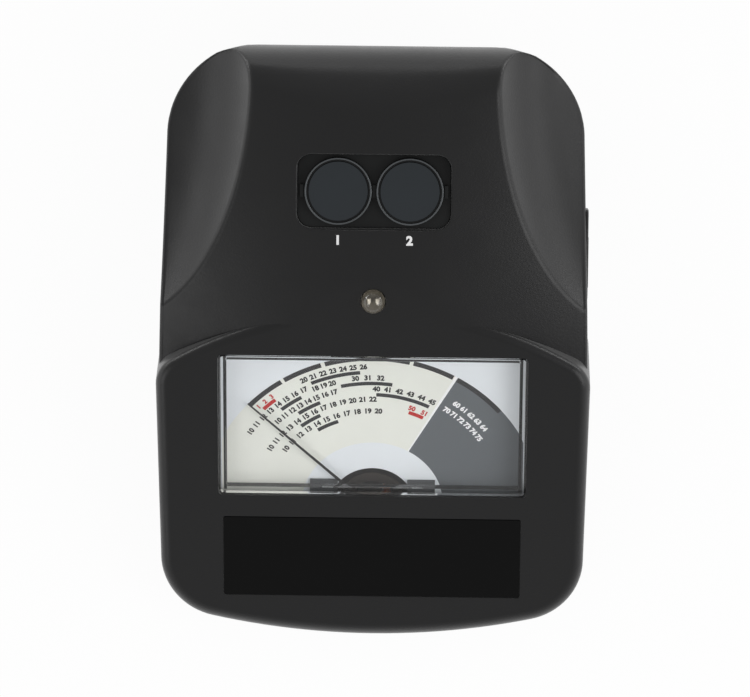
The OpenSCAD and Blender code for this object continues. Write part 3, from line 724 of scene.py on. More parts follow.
class Piece:
    """Mesh of one piece while it is being built."""

    def __init__(self, name: str) -> None:
        """Starts an empty mesh."""
        self.name = name
        self.mesh = bmesh.new()

    @classmethod
    def solid(cls, name: str, rings: Rings) -> bpy.types.Object:
        """Builds one flat-shaded solid through rings.

        Args:
            name: Name of the object.
            rings: Rings of places in metres, from one end to the other.

        Returns:
            The closed solid.
        """
        piece = cls(name)
        piece.loft(rings)
        return piece.finish(None)

    def loft(self, rings: Rings) -> None:
        """Adds a closed solid through rings of equal count, capped at both ends.

        Args:
            rings: Rings of places in metres, from one end to the other.
        """
        made = [[self.mesh.verts.new(p) for p in ring] for ring in rings]
        count = len(made[0])
        for low, high in zip(made, made[1:]):
            for i in range(count):
                j = (i + 1) % count
                self.mesh.faces.new((low[i], low[j], high[j], high[i]))
        self.mesh.faces.new(tuple(reversed(made[0])))
        self.mesh.faces.new(tuple(made[-1]))

    def finish(self, smooth: float | None = 35.0) -> bpy.types.Object:
        """Turns the mesh into a linked object.

        Args:
            smooth: Angle in degrees below which edges are shaded round, or None for flat.

        Returns:
            The new object.
        """
        bmesh.ops.remove_doubles(self.mesh, verts=self.mesh.verts, dist=1e-7)
        bmesh.ops.recalc_face_normals(self.mesh, faces=self.mesh.faces)
        obj = linked(self.name, self.mesh)
        if smooth is not None:
            shade(obj, smooth)
        return obj


def combine(obj: bpy.types.Object, tool: bpy.types.Object, way: Join) -> None:
    """Applies an exact boolean and removes the tool.

    Args:
        obj: Object that is changed.
        tool: Closed object that is joined or cut away.
        way: How the two are combined.
    """
    step = obj.modifiers.new("step", "BOOLEAN")
    step.operation = way.value
    step.object = tool
    step.solver = "EXACT"
    graph = bpy.context.evaluated_depsgraph_get()
    data = bpy.data.meshes.new_from_object(obj.evaluated_get(graph))
    obj.modifiers.clear()
    old = obj.data
    obj.data = data
    bpy.data.meshes.remove(old)
    bpy.data.objects.remove(tool)


@dataclass
class RearBody:
    """Crowned spine with the rear roll and hollowed flanks, as one closed solid.

    Sections follow each other at the first rows and at the row runs, each of which is a
    place, a step and a count, and then round the rear roll.
    """

    form: BodyForm
    inset: float = 0.0
    low: float = 7.3
    edge_soft: float = 1.3
    rim_r: float = 1.0
    spine_steps: int = 18
    soft_steps: int = 7
    flank_steps: int = 16
    rim_steps: int = 5
    first_rows: Pair = (-15.0, -10.0)
    row_runs: tuple[tuple[float, float, int], ...] = ((-8.0, 1.6, 9), (6.0, 0.7, 20), (20.5, 1.5, 27))
    roll_rows: int = 18
    search_from: float = 10.0
    search_steps: int = 40
    rim_gap: float = 0.3
    soft_gap: float = 0.1
    soft_step: float = 0.02
    wall_shares: Triple = (0.35, 0.7, 1.0)

    def rows(self) -> list[float]:
        """Lists the places along the body where sections are taken.

        Returns:
            The places from front to rear.
        """
        form = self.form
        start = form.y_rear - form.roll_r
        reach = form.roll_r - self.inset
        runs = [first + step * i for first, step, count in self.row_runs for i in range(count)]
        angles = [math.radians(90.0 * i / self.roll_rows) for i in range(self.roll_rows + 1)]
        roll = [start + reach * math.sin(angle) for angle in angles]
        return [form.form_y, *self.first_rows, *(y for y in runs if y < start), *roll]

    def edge_x(self, y: float, limit: float) -> float:
        """Finds where the flank's hollow starts.

        Args:
            y: Place along the body.
            limit: Largest place across the body that is looked at.

        Returns:
            The place across the body, or the limit where there is no hollow.
        """
        form = self.form
        low, high = self.search_from, limit
        if form.hollow(high, y, self.inset) > form.top(high, y, self.inset):
            return limit
        for _ in range(self.search_steps):
            middle = (low + high) / 2
            if form.hollow(middle, y, self.inset) > form.top(middle, y, self.inset):
                low = middle
            else:
                high = middle
        return high

    def section(self, y: float) -> list[Pair]:
        """Draws the right half of a section, from the middle to the rim.

        Args:
            y: Place along the body.

        Returns:
            Places across the body with their heights.
        """
        form, inset = self.form, self.inset
        half = form.half(y, inset)
        inner = half - self.rim_r
        edge = min(self.edge_x(y, half), inner - self.rim_gap)

        def height(x: float) -> float:
            """Returns the height of the skin at x."""
            return min(form.top(x, y, inset), form.hollow(x, y, inset))

        corner = (edge, height(edge))
        start, stop = edge - self.edge_soft, edge
        while stop < inner - self.soft_gap:
            if math.hypot(stop - edge, height(stop) - corner[1]) >= self.edge_soft:
                break
            stop += self.soft_step
        points = [(start * i / self.spine_steps, 0.0) for i in range(self.spine_steps)]
        points = [(x, height(x)) for x, _ in points]
        first, last = (start, height(start)), (stop, height(stop))
        for i in range(self.soft_steps + 1):
            t = i / self.soft_steps
            a, b, c = (1 - t) ** 2, 2 * t * (1 - t), t * t
            x, z = (a * p + b * q + c * r for p, q, r in zip(first, corner, last))
            points.append((x, z))
        for i in range(1, self.flank_steps + 1):
            x = stop + (inner - stop) * i / self.flank_steps
            points.append((x, height(x)))
        rim = points[-1]
        for i in range(1, self.rim_steps + 1):
            t = math.radians(90.0 * i / self.rim_steps)
            points.append((rim[0] + self.rim_r * math.sin(t), rim[1] - self.rim_r * (1 - math.cos(t))))
        return points

    def build(self, name: str) -> bpy.types.Object:
        """Builds the solid from its sections, walls and floor.

        Args:
            name: Name of the object.

        Returns:
            The closed solid.
        """
        form = self.form
        piece = Piece(name)
        grid: list[list[bmesh.types.BMVert]] = []
        plan: list[Pair] = []
        for y in self.rows():
            right = self.section(y)
            full = [(-x, z) for x, z in reversed(right[1:])] + right
            grid.append([piece.mesh.verts.new(form.leaned(x, y, z)) for x, z in full])
            plan.append((right[-1][0], y))
        for back, fore in zip(grid, grid[1:]):
            for i in range(len(back) - 1):
                piece.mesh.faces.new((back[i], back[i + 1], fore[i + 1], fore[i]))
        left = [row[0] for row in reversed(grid)]
        rim = [row[-1] for row in grid] + list(reversed(grid[-1]))[1:] + left[1:]
        last = [(vert.co.x / MM, plan[-1][1]) for vert in reversed(grid[-1])]
        plan = plan + last[1:] + [(-x, y) for x, y in reversed(plan)][1:]
        walls = [rim]
        for share in self.wall_shares:
            heights = [vert.co.z / MM for vert in rim]
            heights = [z + (self.low - z) * share for z in heights]
            places = [form.leaned(x, y, z) for (x, y), z in zip(plan, heights)]
            walls.append([piece.mesh.verts.new(place) for place in places])
        for high, low in zip(walls, walls[1:]):
            for i in range(len(rim) - 1):
                piece.mesh.faces.new((high[i], high[i + 1], low[i + 1], low[i]))
        piece.mesh.faces.new(walls[-1])
        front = grid[0] + [ring[0] for ring in walls[1:]] + [ring[-1] for ring in reversed(walls[1:])]
        piece.mesh.faces.new(front)
        return piece.finish(None)


@dataclass
class Plateau:
    """Sloped meter panel with its round arch behind the window, as one closed solid."""

    form: BodyForm
    front_set: float = 0.8
    arch_set: float = 10.8
    edge_steps: int = 8
    front_steps: int = 24
    corner_steps: int = 16
    arch_steps: int = 36
    arch_corner_steps: int = 10
    void_drop: float = 1.0
    void_shift: float = 0.6

    def outline(self, inset: float, shift: float) -> list[Pair]:
        """Draws the plan of the plateau.

        Args:
            inset: Distance inside the outer plan.
            shift: Distance by which the arch is moved back.

        Returns:
            The points of the plan, in millimetres.
        """
        form = self.form
        corner_x = form.body_w / 2 - self.front_set - form.front_corner_r
        run = math.sqrt((form.front_arc_r - form.front_corner_r) ** 2 - corner_x**2)
        front_y = form.y_front + form.front_arc_r
        turn = math.degrees(math.atan2(corner_x, run))
        arch_x = form.body_w / 2 - form.arch_corner_r
        arch_run = math.sqrt((form.arch_r - form.arch_corner_r) ** 2 - arch_x**2)
        arch_y = form.win_y + self.arch_set
        sweep = math.degrees(math.atan2(arch_run, arch_x))
        front_r, arch_r = form.front_corner_r - inset, form.arch_corner_r - inset
        small, large = self.arch_corner_steps, self.corner_steps
        back = (0.0, arch_y - arch_run + shift)
        return [
            *arc((0.0, front_y), form.front_arc_r - inset, 270 - turn, 270 + turn, self.front_steps),
            *arc((corner_x, front_y - run), front_r, 270 + turn, 360, large)[1:],
            *arc((arch_x, arch_y + shift), arch_r, 0, sweep, small),
            *arc(back, form.arch_r - inset, sweep, 180 - sweep, self.arch_steps)[1:],
            *arc((-arch_x, arch_y + shift), arch_r, 180 - sweep, 180, small)[1:],
            *arc((-corner_x, front_y - run), front_r, 180, 270 - turn, large)[:-1],
        ]

    def sloped(self, inset: float, depth: float, shift: float = 0.0) -> list[Vector]:
        """Returns a ring that follows the panel at a depth below it."""
        plan = self.outline(inset, shift)
        return [Vector((x, y, self.form.panel_z(y) - depth)) * MM for x, y in plan]

    def flat(self, inset: float, z: float, shift: float) -> list[Vector]:
        """Returns a level ring."""
        return [Vector((x, y, z)) * MM for x, y in self.outline(inset, shift)]

    def build(self) -> bpy.types.Object:
        """Builds the plateau with its rounded upper edge.

        Returns:
            The closed solid.
        """
        form = self.form
        rings = [self.flat(0.0, form.split_z, form.arch_draft)]
        for step in range(self.edge_steps, -1, -1):
            a = math.radians(90.0 * step / self.edge_steps)
            rings.append(self.sloped(form.edge_r * (1 - math.sin(a)), form.edge_r * (1 - math.cos(a))))
        return Piece.solid("plateau", rings)

    def void(self) -> bpy.types.Object:
        """Builds the room inside the plateau.

        Returns:
            The closed solid.
        """
        form = self.form
        depth = form.wall / math.cos(math.radians(form.slope))
        floor = self.flat(form.wall, form.split_z - self.void_drop, form.arch_draft + self.void_shift)
        return Piece.solid("front_void", [floor, self.sloped(form.wall, depth, self.void_shift)])


@dataclass
class UpperHousing:
    """Smooth skin of the upper housing with its openings."""

    form: BodyForm
    panel: PanelFrame
    book: FinishBook
    cut_past: float = 3.0
    window_corner: float = 1.2
    name_size: Pair = (77.2, 23.4)
    name_corner: float = 0.6
    name_set: float = 17.95
    name_depth: float = 0.35
    pocket_size: Pair = (39.0, 19.0)
    pocket_corner: float = 3.6
    pocket_steps: int = 8
    rim_grow: tuple[float, ...] = (0.0, 0.03, 0.11, 0.24, 0.40)
    rim_depth: tuple[float, ...] = (0.40, 0.24, 0.11, 0.03, -0.005)
    rim_past: float = 1.0
    floor_grow: float = 3.6
    floor_corner: float = 4.0
    floor_reach: Pair = (-1.8, 1.6)
    lamp_hole: float = 6.6
    lamp_reach: Pair = (-8.0, 4.0)
    knob_y: float = 24.5
    knob_z: float = 27.1
    side_y: float = 22.5
    recess_size: Triple = (4.0, 21.0, 5.2)
    recess_out: float = 1.0
    slot_size: Triple = (10.0, 8.8, 3.0)
    slot_out: float = -2.0
    slot_corner: float = 0.4
    slot_steps: int = 2
    bezel_size: Pair = (23.4, 6.4)
    bezel_corner: float = 1.2
    bezel_steps: tuple[Pair, ...] = ((-2.0, 0.0), (0.15, 0.0), (0.4, 0.5))
    socket_z: float = 28.7
    probe_x: float = -12.0
    probe_r: float = 3.5
    probe_reach: Pair = (8.0, -12.0)
    power_x: float = 14.0
    power_set: float = 5.0
    power_size: Triple = (9.6, 14.0, 8.0)
    power_corner: float = 0.3
    post_r: float = 3.2
    post_sides: int = 24
    front_post: Pair = (47.75, -58.7)
    front_post_drop: float = 2.0
    rear_post: Pair = (43.4, 57.4)
    rear_post_edge: float = 46.6
    rear_post_drop: float = 0.5
    inner_edge: float = 0.6
    inner_rim: float = 0.5
    inner_drop: float = 1.0
    smooth_angle: float = 30.0
    normal_weight: int = 80

    @property
    def side(self) -> float:
        """Half width of the body beside the power switch."""
        return self.form.half(self.side_y, 0.0)

    def box(self, name: str, size: Triple, corner: float, spot: Triple) -> bpy.types.Object:
        """Builds an upright block with round corners.

        Args:
            name: Name of the object.
            size: Size across, along and up.
            corner: Radius of the upright edges.
            spot: Middle of the block.

        Returns:
            The closed solid.
        """
        outline = rounded_rect(size[0], size[1], corner, self.slot_steps)
        low, high = spot[2] - size[2] / 2, spot[2] + size[2] / 2
        return Piece.solid(name, upright(outline, low, high, spot[:2]))

    def openings(self) -> Iterable[bpy.types.Object]:
        """Builds the solids that are cut away.

        Yields:
            Each solid in turn.
        """
        form, panel = self.form, self.panel
        outline = rounded_rect(form.win_w, form.win_h, self.window_corner)
        yield Piece.solid("cut_window", panel.prism(outline, -form.wall - self.cut_past, self.cut_past))
        middle = -form.win_h / 2 - self.name_set
        outline = [(u, v + middle) for u, v in rounded_rect(*self.name_size, self.name_corner)]
        yield Piece.solid("cut_plate", panel.prism(outline, -self.name_depth, self.cut_past))
        yield self.pocket()
        low, high = form.panel_z(form.lamp_y) + self.lamp_reach[0], form.top_z + self.lamp_reach[1]
        yield Piece.solid("cut_lamp", upright(circle(self.lamp_hole / 2), low, high, (0.0, form.lamp_y)))
        spot = (self.side + self.recess_out, self.knob_y, self.knob_z)
        yield self.box("cut_recess", self.recess_size, self.slot_corner, spot)
        spot = (self.side + self.slot_out, self.knob_y, self.knob_z)
        yield self.box("cut_slot", self.slot_size, self.slot_corner, spot)
        ring = circle(self.probe_r, centre=(self.probe_x, self.socket_z))
        ends = [form.y_rear + reach for reach in self.probe_reach]
        yield Piece.solid("cut_probe", [[Vector((x, y, z)) * MM for x, z in ring] for y in ends])
        spot = (self.power_x, form.y_rear - self.power_set, self.socket_z)
        yield self.box("cut_power", self.power_size, self.power_corner, spot)

    def pocket(self) -> bpy.types.Object:
        """Builds the room of the disc pocket, wider at its rounded rim.

        Returns:
            The closed solid.
        """
        form = self.form
        width, length = self.pocket_size
        plans = []
        for grow in self.rim_grow:
            corner = self.pocket_corner + grow
            outline = rounded_rect(width + 2 * grow, length + 2 * grow, corner, self.pocket_steps)
            plans.append([(x, y + form.pocket_y) for x, y in outline])
        rings = [[Vector((x, y, form.pocket_z)) * MM for x, y in plans[0]]]
        for plan, depth in zip(plans, self.rim_depth):
            rings.append([Vector((x, y, form.top(x, y, 0.0) - depth)) * MM for x, y in plan])
        rings.append([Vector((x, y, form.top_z + self.rim_past)) * MM for x, y in plans[-1]])
        return Piece.solid("cut_pocket", rings)

    def supports(self) -> Iterable[bpy.types.Object]:
        """Builds the pocket floor, the posts and the bezel that are moulded on.

        Yields:
            Each solid in turn.
        """
        form = self.form
        width, length = (size + self.floor_grow for size in self.pocket_size)
        outline = rounded_rect(width, length, self.floor_corner)
        low, high = (form.pocket_z + reach for reach in self.floor_reach)
        yield Piece.solid("pocket_floor", upright(outline, low, high, (0.0, form.pocket_y)))
        posts = Piece("posts")
        front_high = form.panel_z(self.front_post[1]) - self.front_post_drop
        rear_high = form.hollow(self.rear_post_edge, self.rear_post[1], 0.0) - self.rear_post_drop
        for side in (-1.0, 1.0):
            for (x, y), high in ((self.front_post, front_high), (self.rear_post, rear_high)):
                outline = circle(self.post_r, self.post_sides)
                posts.loft(upright(outline, form.split_z, high, (side * x, y)))
        yield posts.finish(None)
        rings = []
        for out, trim in self.bezel_steps:
            outline = rounded_rect(self.bezel_size[0] - trim, self.bezel_size[1] - trim, self.bezel_corner)
            x = self.side + out
            rings.append([Vector((x, self.knob_y + y, self.knob_z + z)) * MM for y, z in outline])
        yield Piece.solid("bezel", rings)

    def build(self) -> None:
        """Builds the housing and hangs it in the frame."""
        form = self.form
        obj = RearBody(form, low=form.split_z).build("upper_skin")
        combine(obj, Plateau(form).build(), Join.UNION)
        inner = RearBody(
            form,
            inset=form.wall,
            low=form.split_z - self.inner_drop,
            edge_soft=self.inner_edge,
            rim_r=self.inner_rim,
            spine_steps=9,
            soft_steps=2,
            flank_steps=7,
            rim_steps=2,
        )
        combine(obj, inner.build("rear_void"), Join.CUT)
        combine(obj, Plateau(form).void(), Join.CUT)
        for support in self.supports():
            combine(obj, support, Join.UNION)
        for opening in self.openings():
            combine(obj, opening, Join.CUT)
        shade(obj, self.smooth_angle)
        weight = obj.modifiers.new("weighted", "WEIGHTED_NORMAL")
        weight.keep_sharp = True
        weight.weight = self.normal_weight
        self.book.hang(obj, FINISHES["housing_black"], "housing_black")
        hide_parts("upper_housing")


@dataclass(frozen=True)
class Bar:
    """Printed arc on the dial, in millimetres and degrees from the dial's middle line."""

    radius: float
    start: float
    end: float
    thick: float = 1.0


@dataclass(frozen=True)
class NumberRow:
    """Row of plain numbers along an arc of the dial."""

    radius: float
    start: float
    end: float
    first: int
    count: int
    size: float = 1.9


@dataclass(frozen=True)
class Strip:
    """Straight strip laid on the dial; it carries painted shadow at the sides and painted light along the
    top.
    """

    left: float
    right: float
    low: float
    high: float


@dataclass(frozen=True)
class InkFinish(Finish):
    """Printing ink of the dial."""

    roughness: float = 0.55
    mottle: float = 0.05
    relief: float = 0.03
    specular: float = 0.1


@dataclass
class DialPrint:
    """Printed fields, arcs, bars and plain numbers on the dial plate, with strips of painted shadow at its
    sides and painted light along its top.
    """

    form: BodyForm
    panel: PanelFrame
    book: FinishBook
    slot: str = "dial_white"
    level: float = -5.9
    half_w: float = 38.9
    hub_r: float = 18.5
    field_r: float = 43.5
    field_end: float = 88.0
    split_angle: float = 30.0
    cream_gap: float = 0.6
    line_span: Pair = (-0.9, 0.1)
    pivot_drop: float = 5.45
    sink: float = 0.02
    cream_lift: float = 0.010
    grey_lift: float = 0.012
    ink_lift: float = 0.02
    bar_lift: float = 0.03
    band_step: float = 1.5
    band_least: int = 4
    cream: Finish = InkFinish("ink_cream", srgb(234, 236, 228), 0.6, mottle=0.02, specular=0.5)
    grey: Finish = InkFinish("ink_grey", srgb(96, 101, 105), 0.6, mottle=0.06, patch_scale=30.0)
    dark: Finish = InkFinish("ink_dark", srgb(46, 46, 48))
    # black ink of the numbers, also used as painted shadow at the dial's sides
    black: Finish = InkFinish("ink_black_and_painted_shadow", srgb(13, 13, 14))
    red: Finish = InkFinish("ink_red", srgb(190, 34, 30))
    white: Finish = InkFinish("ink_white", srgb(246, 247, 248), 0.6, mottle=0.02, specular=0.5)
    scale: tuple[Bar, ...] = (
        Bar(42.9, -47.6, -33.4, 1.3),
        Bar(42.9, -32.2, -18.2, 1.3),
        Bar(42.9, -16.8, 12.7, 1.3),
        Bar(42.9, 14.0, 28.7, 1.3),
        Bar(42.9, 30.3, 49.5, 1.3),
    )
    dark_bars: tuple[Bar, ...] = (
        Bar(38.9, -24.1, -4.9),
        Bar(36.4, -40.3, -30.4),
        Bar(35.7, -13.3, 8.0),
        Bar(32.85, -35.6, -24.4),
        Bar(32.45, 1.5, 26.4),
        Bar(29.5, -38.7, -27.3),
        Bar(26.1, -32.8, -20.0),
    )
    red_bars: tuple[Bar, ...] = (Bar(39.6, -45.3, -39.4), Bar(28.9, 18.6, 26.6))
    dark_numbers: tuple[NumberRow, ...] = (
        NumberRow(39.9, -26.0, -3.5, 20, 7),
        NumberRow(36.7, -7.0, 3.0, 30, 3),
        NumberRow(37.4, -56.0, -28.0, 10, 8),
        NumberRow(36.5, -23.6, -16.4, 18, 3),
        NumberRow(33.9, -45.0, -17.0, 10, 8),
        NumberRow(33.5, 1.5, 26.5, 40, 6),
        NumberRow(30.5, -58.0, 0.0, 10, 13),
        NumberRow(27.1, -54.0, 3.0, 10, 11),
    )
    red_numbers: tuple[NumberRow, ...] = (
        NumberRow(40.4, -45.9, -39.6, 1, 3, 1.7),
        NumberRow(29.7, 19.4, 26.0, 50, 2, 1.8),
    )
    white_numbers: tuple[NumberRow, ...] = (
        NumberRow(36.2, 35.8, 51.0, 60, 5),
        NumberRow(33.4, 34.0, 53.5, 70, 6),
    )
    # painted shadow: dark strips along the dial's sides, where the gap to the cover's skirt lies in shade
    side_shadow_strips: tuple[Strip, ...] = (Strip(-38.5, -37.7, -21.0, 18.6), Strip(37.7, 38.5, -21.0, 18.6))
    # painted light: a dial-white strip along the top, over the shade of the gap, for the light reflected
    # in the cover's top edge
    top_light_strips: tuple[Strip, ...] = (Strip(-39.0, 39.0, 18.6, 19.5),)

    @property
    def pivot_v(self) -> float:
        """Place of the needle's pivot up the panel."""
        return -self.form.win_h / 2 - self.pivot_drop

    def spot(self, radius: float, angle: float) -> Pair:
        """Returns a place on the dial from its radius and angle."""
        a = math.radians(angle)
        return radius * math.sin(a), self.pivot_v + radius * math.cos(a)

    def sheet(self, piece: Piece, outline: Sequence[Pair], lift: float) -> None:
        """Adds a thin shape, printed or painted, that stands out of the dial by lift."""
        piece.loft(self.panel.prism(outline, self.level - self.sink, self.level + lift))

    def band(self, piece: Piece, radii: Pair, angles: Pair, lift: float) -> None:
        """Adds a thin ring sector, kept inside the dial's sides.

        Args:
            piece: Mesh that takes the sector.
            radii: Inner and outer radius.
            angles: First and last angle.
            lift: Height above the dial.
        """
        start, end = angles
        steps = max(self.band_least, int(abs(end - start) / self.band_step))
        turns = [start + (end - start) * i / steps for i in range(steps + 1)]
        far = []
        for angle in turns:
            reach = abs(math.sin(math.radians(angle)))
            outer = min(radii[1], self.half_w / reach) if reach > 1e-6 else radii[1]
            far.append(self.spot(outer, angle))
        near = [self.spot(radii[0], angle) for angle in reversed(turns)]
        self.sheet(piece, far + near, lift)

    def bars(self, name: str, bars: Sequence[Bar], finish: Finish) -> None:
        """Prints a set of bars as one piece.

        Args:
            name: Name of the piece.
            bars: Bars to print.
            finish: Ink of the bars.
        """
        piece = Piece(name)
        for bar in bars:
            radii = (bar.radius - bar.thick / 2, bar.radius + bar.thick / 2)
            self.band(piece, radii, (bar.start, bar.end), self.bar_lift)
        self.book.hang(piece.finish(), finish, self.slot)

    def field(self, name: str, angles: Pair, finish: Finish, lift: float) -> None:
        """Prints a sector that reaches from the hub to the scale.

        Args:
            name: Name of the piece.
            angles: First and last angle.
            finish: Ink of the sector.
            lift: Height above the dial.
        """
        piece = Piece(name)
        self.band(piece, (self.hub_r, self.field_r), angles, lift)
        self.book.hang(piece.finish(), finish, self.slot)

    def strips(self, name: str, strips: Sequence[Strip], finish: Finish) -> None:
        """Lays straight strips of painted shadow or painted light as one piece.

        Args:
            name: Name of the piece.
            strips: Strips to print.
            finish: Finish that paints the strips.
        """
        piece = Piece(name)
        for strip in strips:
            low = [(strip.left, strip.low), (strip.right, strip.low)]
            high = [(strip.right, strip.high), (strip.left, strip.high)]
            self.sheet(piece, low + high, self.ink_lift)
        self.book.hang(piece.finish(), finish, self.slot)

    def numbers(self, name: str, rows: Sequence[NumberRow], finish: Finish) -> None:
        """Prints rows of plain numbers as one piece.

        Args:
            name: Name of the piece.
            rows: Rows to print.
            finish: Ink of the numbers.
        """
        target = bmesh.new()
        for row in rows:
            for i in range(row.count):
                angle = row.start + (row.end - row.start) * i / (row.count - 1)
                u, v = self.spot(row.radius, angle)
                spot = self.panel.matrix(u, v, self.level + self.ink_lift, -math.radians(angle))
                add_number(target, str(row.first + i), row.size, spot)
        self.book.hang(linked(name, target), finish, self.slot)

    def build(self) -> None:
        """Prints the whole dial."""
        split = self.split_angle
        self.field("print_cream", (-self.field_end, split - self.cream_gap), self.cream, self.cream_lift)
        self.field("print_grey", (split, self.field_end), self.grey, self.grey_lift)
        # painted shadow along the dial's sides
        self.strips("painted_side_shadows", self.side_shadow_strips, self.black)
        # painted light along the dial's top
        self.strips("painted_top_light", self.top_light_strips, FINISHES["dial_white"])
        self.bars("print_scale", self.scale, self.dark)
        self.bars("print_bars", self.dark_bars, self.dark)
        self.bars("print_red_bars", self.red_bars, self.red)
        line = (split + self.line_span[0], split + self.line_span[1])
        self.field("print_line", line, self.white, self.ink_lift)
        self.numbers("print_numbers", self.dark_numbers, self.black)
        self.numbers("print_red_numbers", self.red_numbers, self.red)
        self.numbers("print_white_numbers", self.white_numbers, self.white)


def add_number(target: bmesh.types.BMesh, label: str, size: float, matrix: Matrix) -> None:
    """Adds a plain number to a mesh.

    Args:
        target: Mesh that takes the number.
        label: Digits to write.
        size: Height of the type, in millimetres.
        matrix: Placement of the middle of its base line.
    """
    curve = bpy.data.curves.new("number", "FONT")
    curve.body = label
    curve.size = size * MM
    curve.align_x = "CENTER"
    curve.offset = NUMBER_WEIGHT * size * MM
    curve.extrude = NUMBER_DEPTH * MM
    curve.resolution_u = NUMBER_STEPS
    holder = bpy.data.objects.new("number", curve)
    bpy.context.scene.collection.objects.link(holder)
    graph = bpy.context.evaluated_depsgraph_get()
    data = bpy.data.meshes.new_from_object(holder.evaluated_get(graph))
    data.transform(matrix)
    target.from_mesh(data)
    bpy.data.objects.remove(holder)
    bpy.data.curves.remove(curve)
    bpy.data.meshes.remove(data)


@dataclass
class SpineMarks:
    """Plain numbers printed on the spine in front of the two discs."""

    form: BodyForm
    book: FinishBook
    slot: str = "dial_white"
    gap: float = 18.2
    size: float = 3.2
    set_front: float = 13.55
    lift: float = 0.02
    ink: Finish = Finish("ink_mark", srgb(236, 236, 236), 0.55, mottle=0.02, relief=0.04)

    def build(self) -> None:
        """Prints the two numbers on the crowned face."""
        target = bmesh.new()
        y = self.form.pocket_y - self.set_front
        for label, x in (("1", -self.gap / 2), ("2", self.gap / 2)):
            add_number(target, label, self.size, Matrix.Translation(Vector((x, y, 0.0)) * MM))
        for vert in target.verts:
            lift = self.lift if vert.co.z > 0.0 else -self.lift
            vert.co.z = (self.form.top(vert.co.x / MM, vert.co.y / MM, 0.0) + lift) * MM
        self.book.hang(linked("spine_numbers", target), self.ink, self.slot)


@dataclass
class LampCore:
    """Milky cup and lead frame inside the clear lamp."""

    form: BodyForm
    book: FinishBook
    slot: str = "tinned_wire"
    cup_r: float = 2.85
    cup_reach: Pair = (-3.0, -0.9)
    post_reach: Pair = (-1.0, 0.2)
    post_plan: tuple[Pair, ...] = ((0.98, 0.42), (0.42, 0.42), (0.42, -0.2), (0.62, -0.5), (0.78, -0.5))
    cup: Finish = Finish("lamp_cup", srgb(94, 91, 84), 0.6, mottle=0.08, relief=0.05)
    post: Finish = Finish("lamp_post", srgb(228, 227, 222), 0.4, mottle=0.03, relief=0.04)

    def build(self) -> None:
        """Builds the cup and the two posts that stand on it."""
        spot = (0.0, self.form.lamp_y)
        top = self.form.panel_z(self.form.lamp_y)
        cup = Piece("lamp_cup")
        cup.loft(upright(circle(self.cup_r), top + self.cup_reach[0], top + self.cup_reach[1], spot))
        self.book.hang(cup.finish(), self.cup, self.slot)
        posts = Piece("lamp_posts")
        for side in (-1.0, 1.0):
            outline = [(side * x, y) for x, y in self.post_plan]
            posts.loft(upright(outline, top + self.post_reach[0], top + self.post_reach[1], spot))
        self.book.hang(posts.finish(), self.post, self.slot)


@dataclass
class FrameFinishes:
    """Finishes and softened edges of the CAD nodes that stay in view."""

    frame: dict[str, Any]
    book: FinishBook
    weld_gap: float = 0.001
    round_angle: float = 30.0
    edge_angle: float = 50.0
    edge_steps: int = 2
    edges: dict[str, float] = field(
        default_factory=lambda: {
            "meter_cover": 0.25,
            "disc_rings": 0.12,
            "reference_disc_left": 0.25,
            "reference_disc_right": 0.25,
            "power_switch_knob": 0.2,
            "disc_tray": 0.2,
            "lower_housing": 0.4,
            "battery_door": 0.25,
            "rubber_feet": 0.25,
            "dial_clamps": 0.12,
            "upper_bridge": 0.1,
            "probe_socket": 0.2,
            "power_socket": 0.2,
            "name_plate": 0.03,
        }
    )

    def round_nodes(self) -> bpy.types.NodeTree:
        """Builds a modifier's nodes that close the seams of a CAD mesh and shade it round.

        Returns:
            The node group.
        """
        group = bpy.data.node_groups.new("round_shading", "GeometryNodeTree")
        for way in ("INPUT", "OUTPUT"):
            group.interface.new_socket("Geometry", in_out=way, socket_type="NodeSocketGeometry")
        start, end = group.nodes.new("NodeGroupInput"), group.nodes.new("NodeGroupOutput")
        weld = group.nodes.new("GeometryNodeMergeByDistance")
        weld.inputs["Distance"].default_value = self.weld_gap * MM
        fold = group.nodes.new("GeometryNodeInputMeshEdgeAngle")
        sharp = group.nodes.new("FunctionNodeCompare")
        sharp.operation = "GREATER_THAN"
        sharp.inputs[1].default_value = math.radians(self.round_angle)
        normal = group.nodes.new("GeometryNodeSetMeshNormal")
        group.links.new(fold.outputs["Unsigned Angle"], sharp.inputs[0])
        group.links.new(sharp.outputs["Result"], normal.inputs["Edge Sharpness"])
        group.links.new(start.outputs[0], weld.inputs["Geometry"])
        group.links.new(weld.outputs["Geometry"], normal.inputs["Mesh"])
        group.links.new(normal.outputs["Mesh"], end.inputs[0])
        return group

    def soften(self, obj: bpy.types.Object, nodes: bpy.types.NodeTree, width: float) -> None:
        """Shades a node round and rounds its sharp edges.

        Args:
            obj: CAD node.
            nodes: Node group that shades it round.
            width: Width of the rounded edges, in millimetres.
        """
        obj.modifiers.new("round", "NODES").node_group = nodes
        bevel = obj.modifiers.new("edge", "BEVEL")
        bevel.width = width * MM
        bevel.segments = self.edge_steps
        bevel.limit_method = "ANGLE"
        bevel.angle_limit = math.radians(self.edge_angle)
        bevel.harden_normals = True

    def build(self) -> None:
        """Dresses every node and softens the edges of those in view."""
        nodes = self.round_nodes()
        for part in self.frame["record"]["subparts"]:
            name, slot = part["node"], part["material_slot"]
            obj = self.frame["nodes"][name]
            self.book.dress(obj, FINISHES[slot])
            if name in self.edges:
                self.soften(obj, nodes, self.edges[name])
            LOG.info("node %s wears %s", name, slot)


@dataclass(frozen=True)
class SoftBox:
    """Soft lamp that faces the object, in metres and watts."""

    name: str
    spot: Triple
    size: Pair
    watts: float


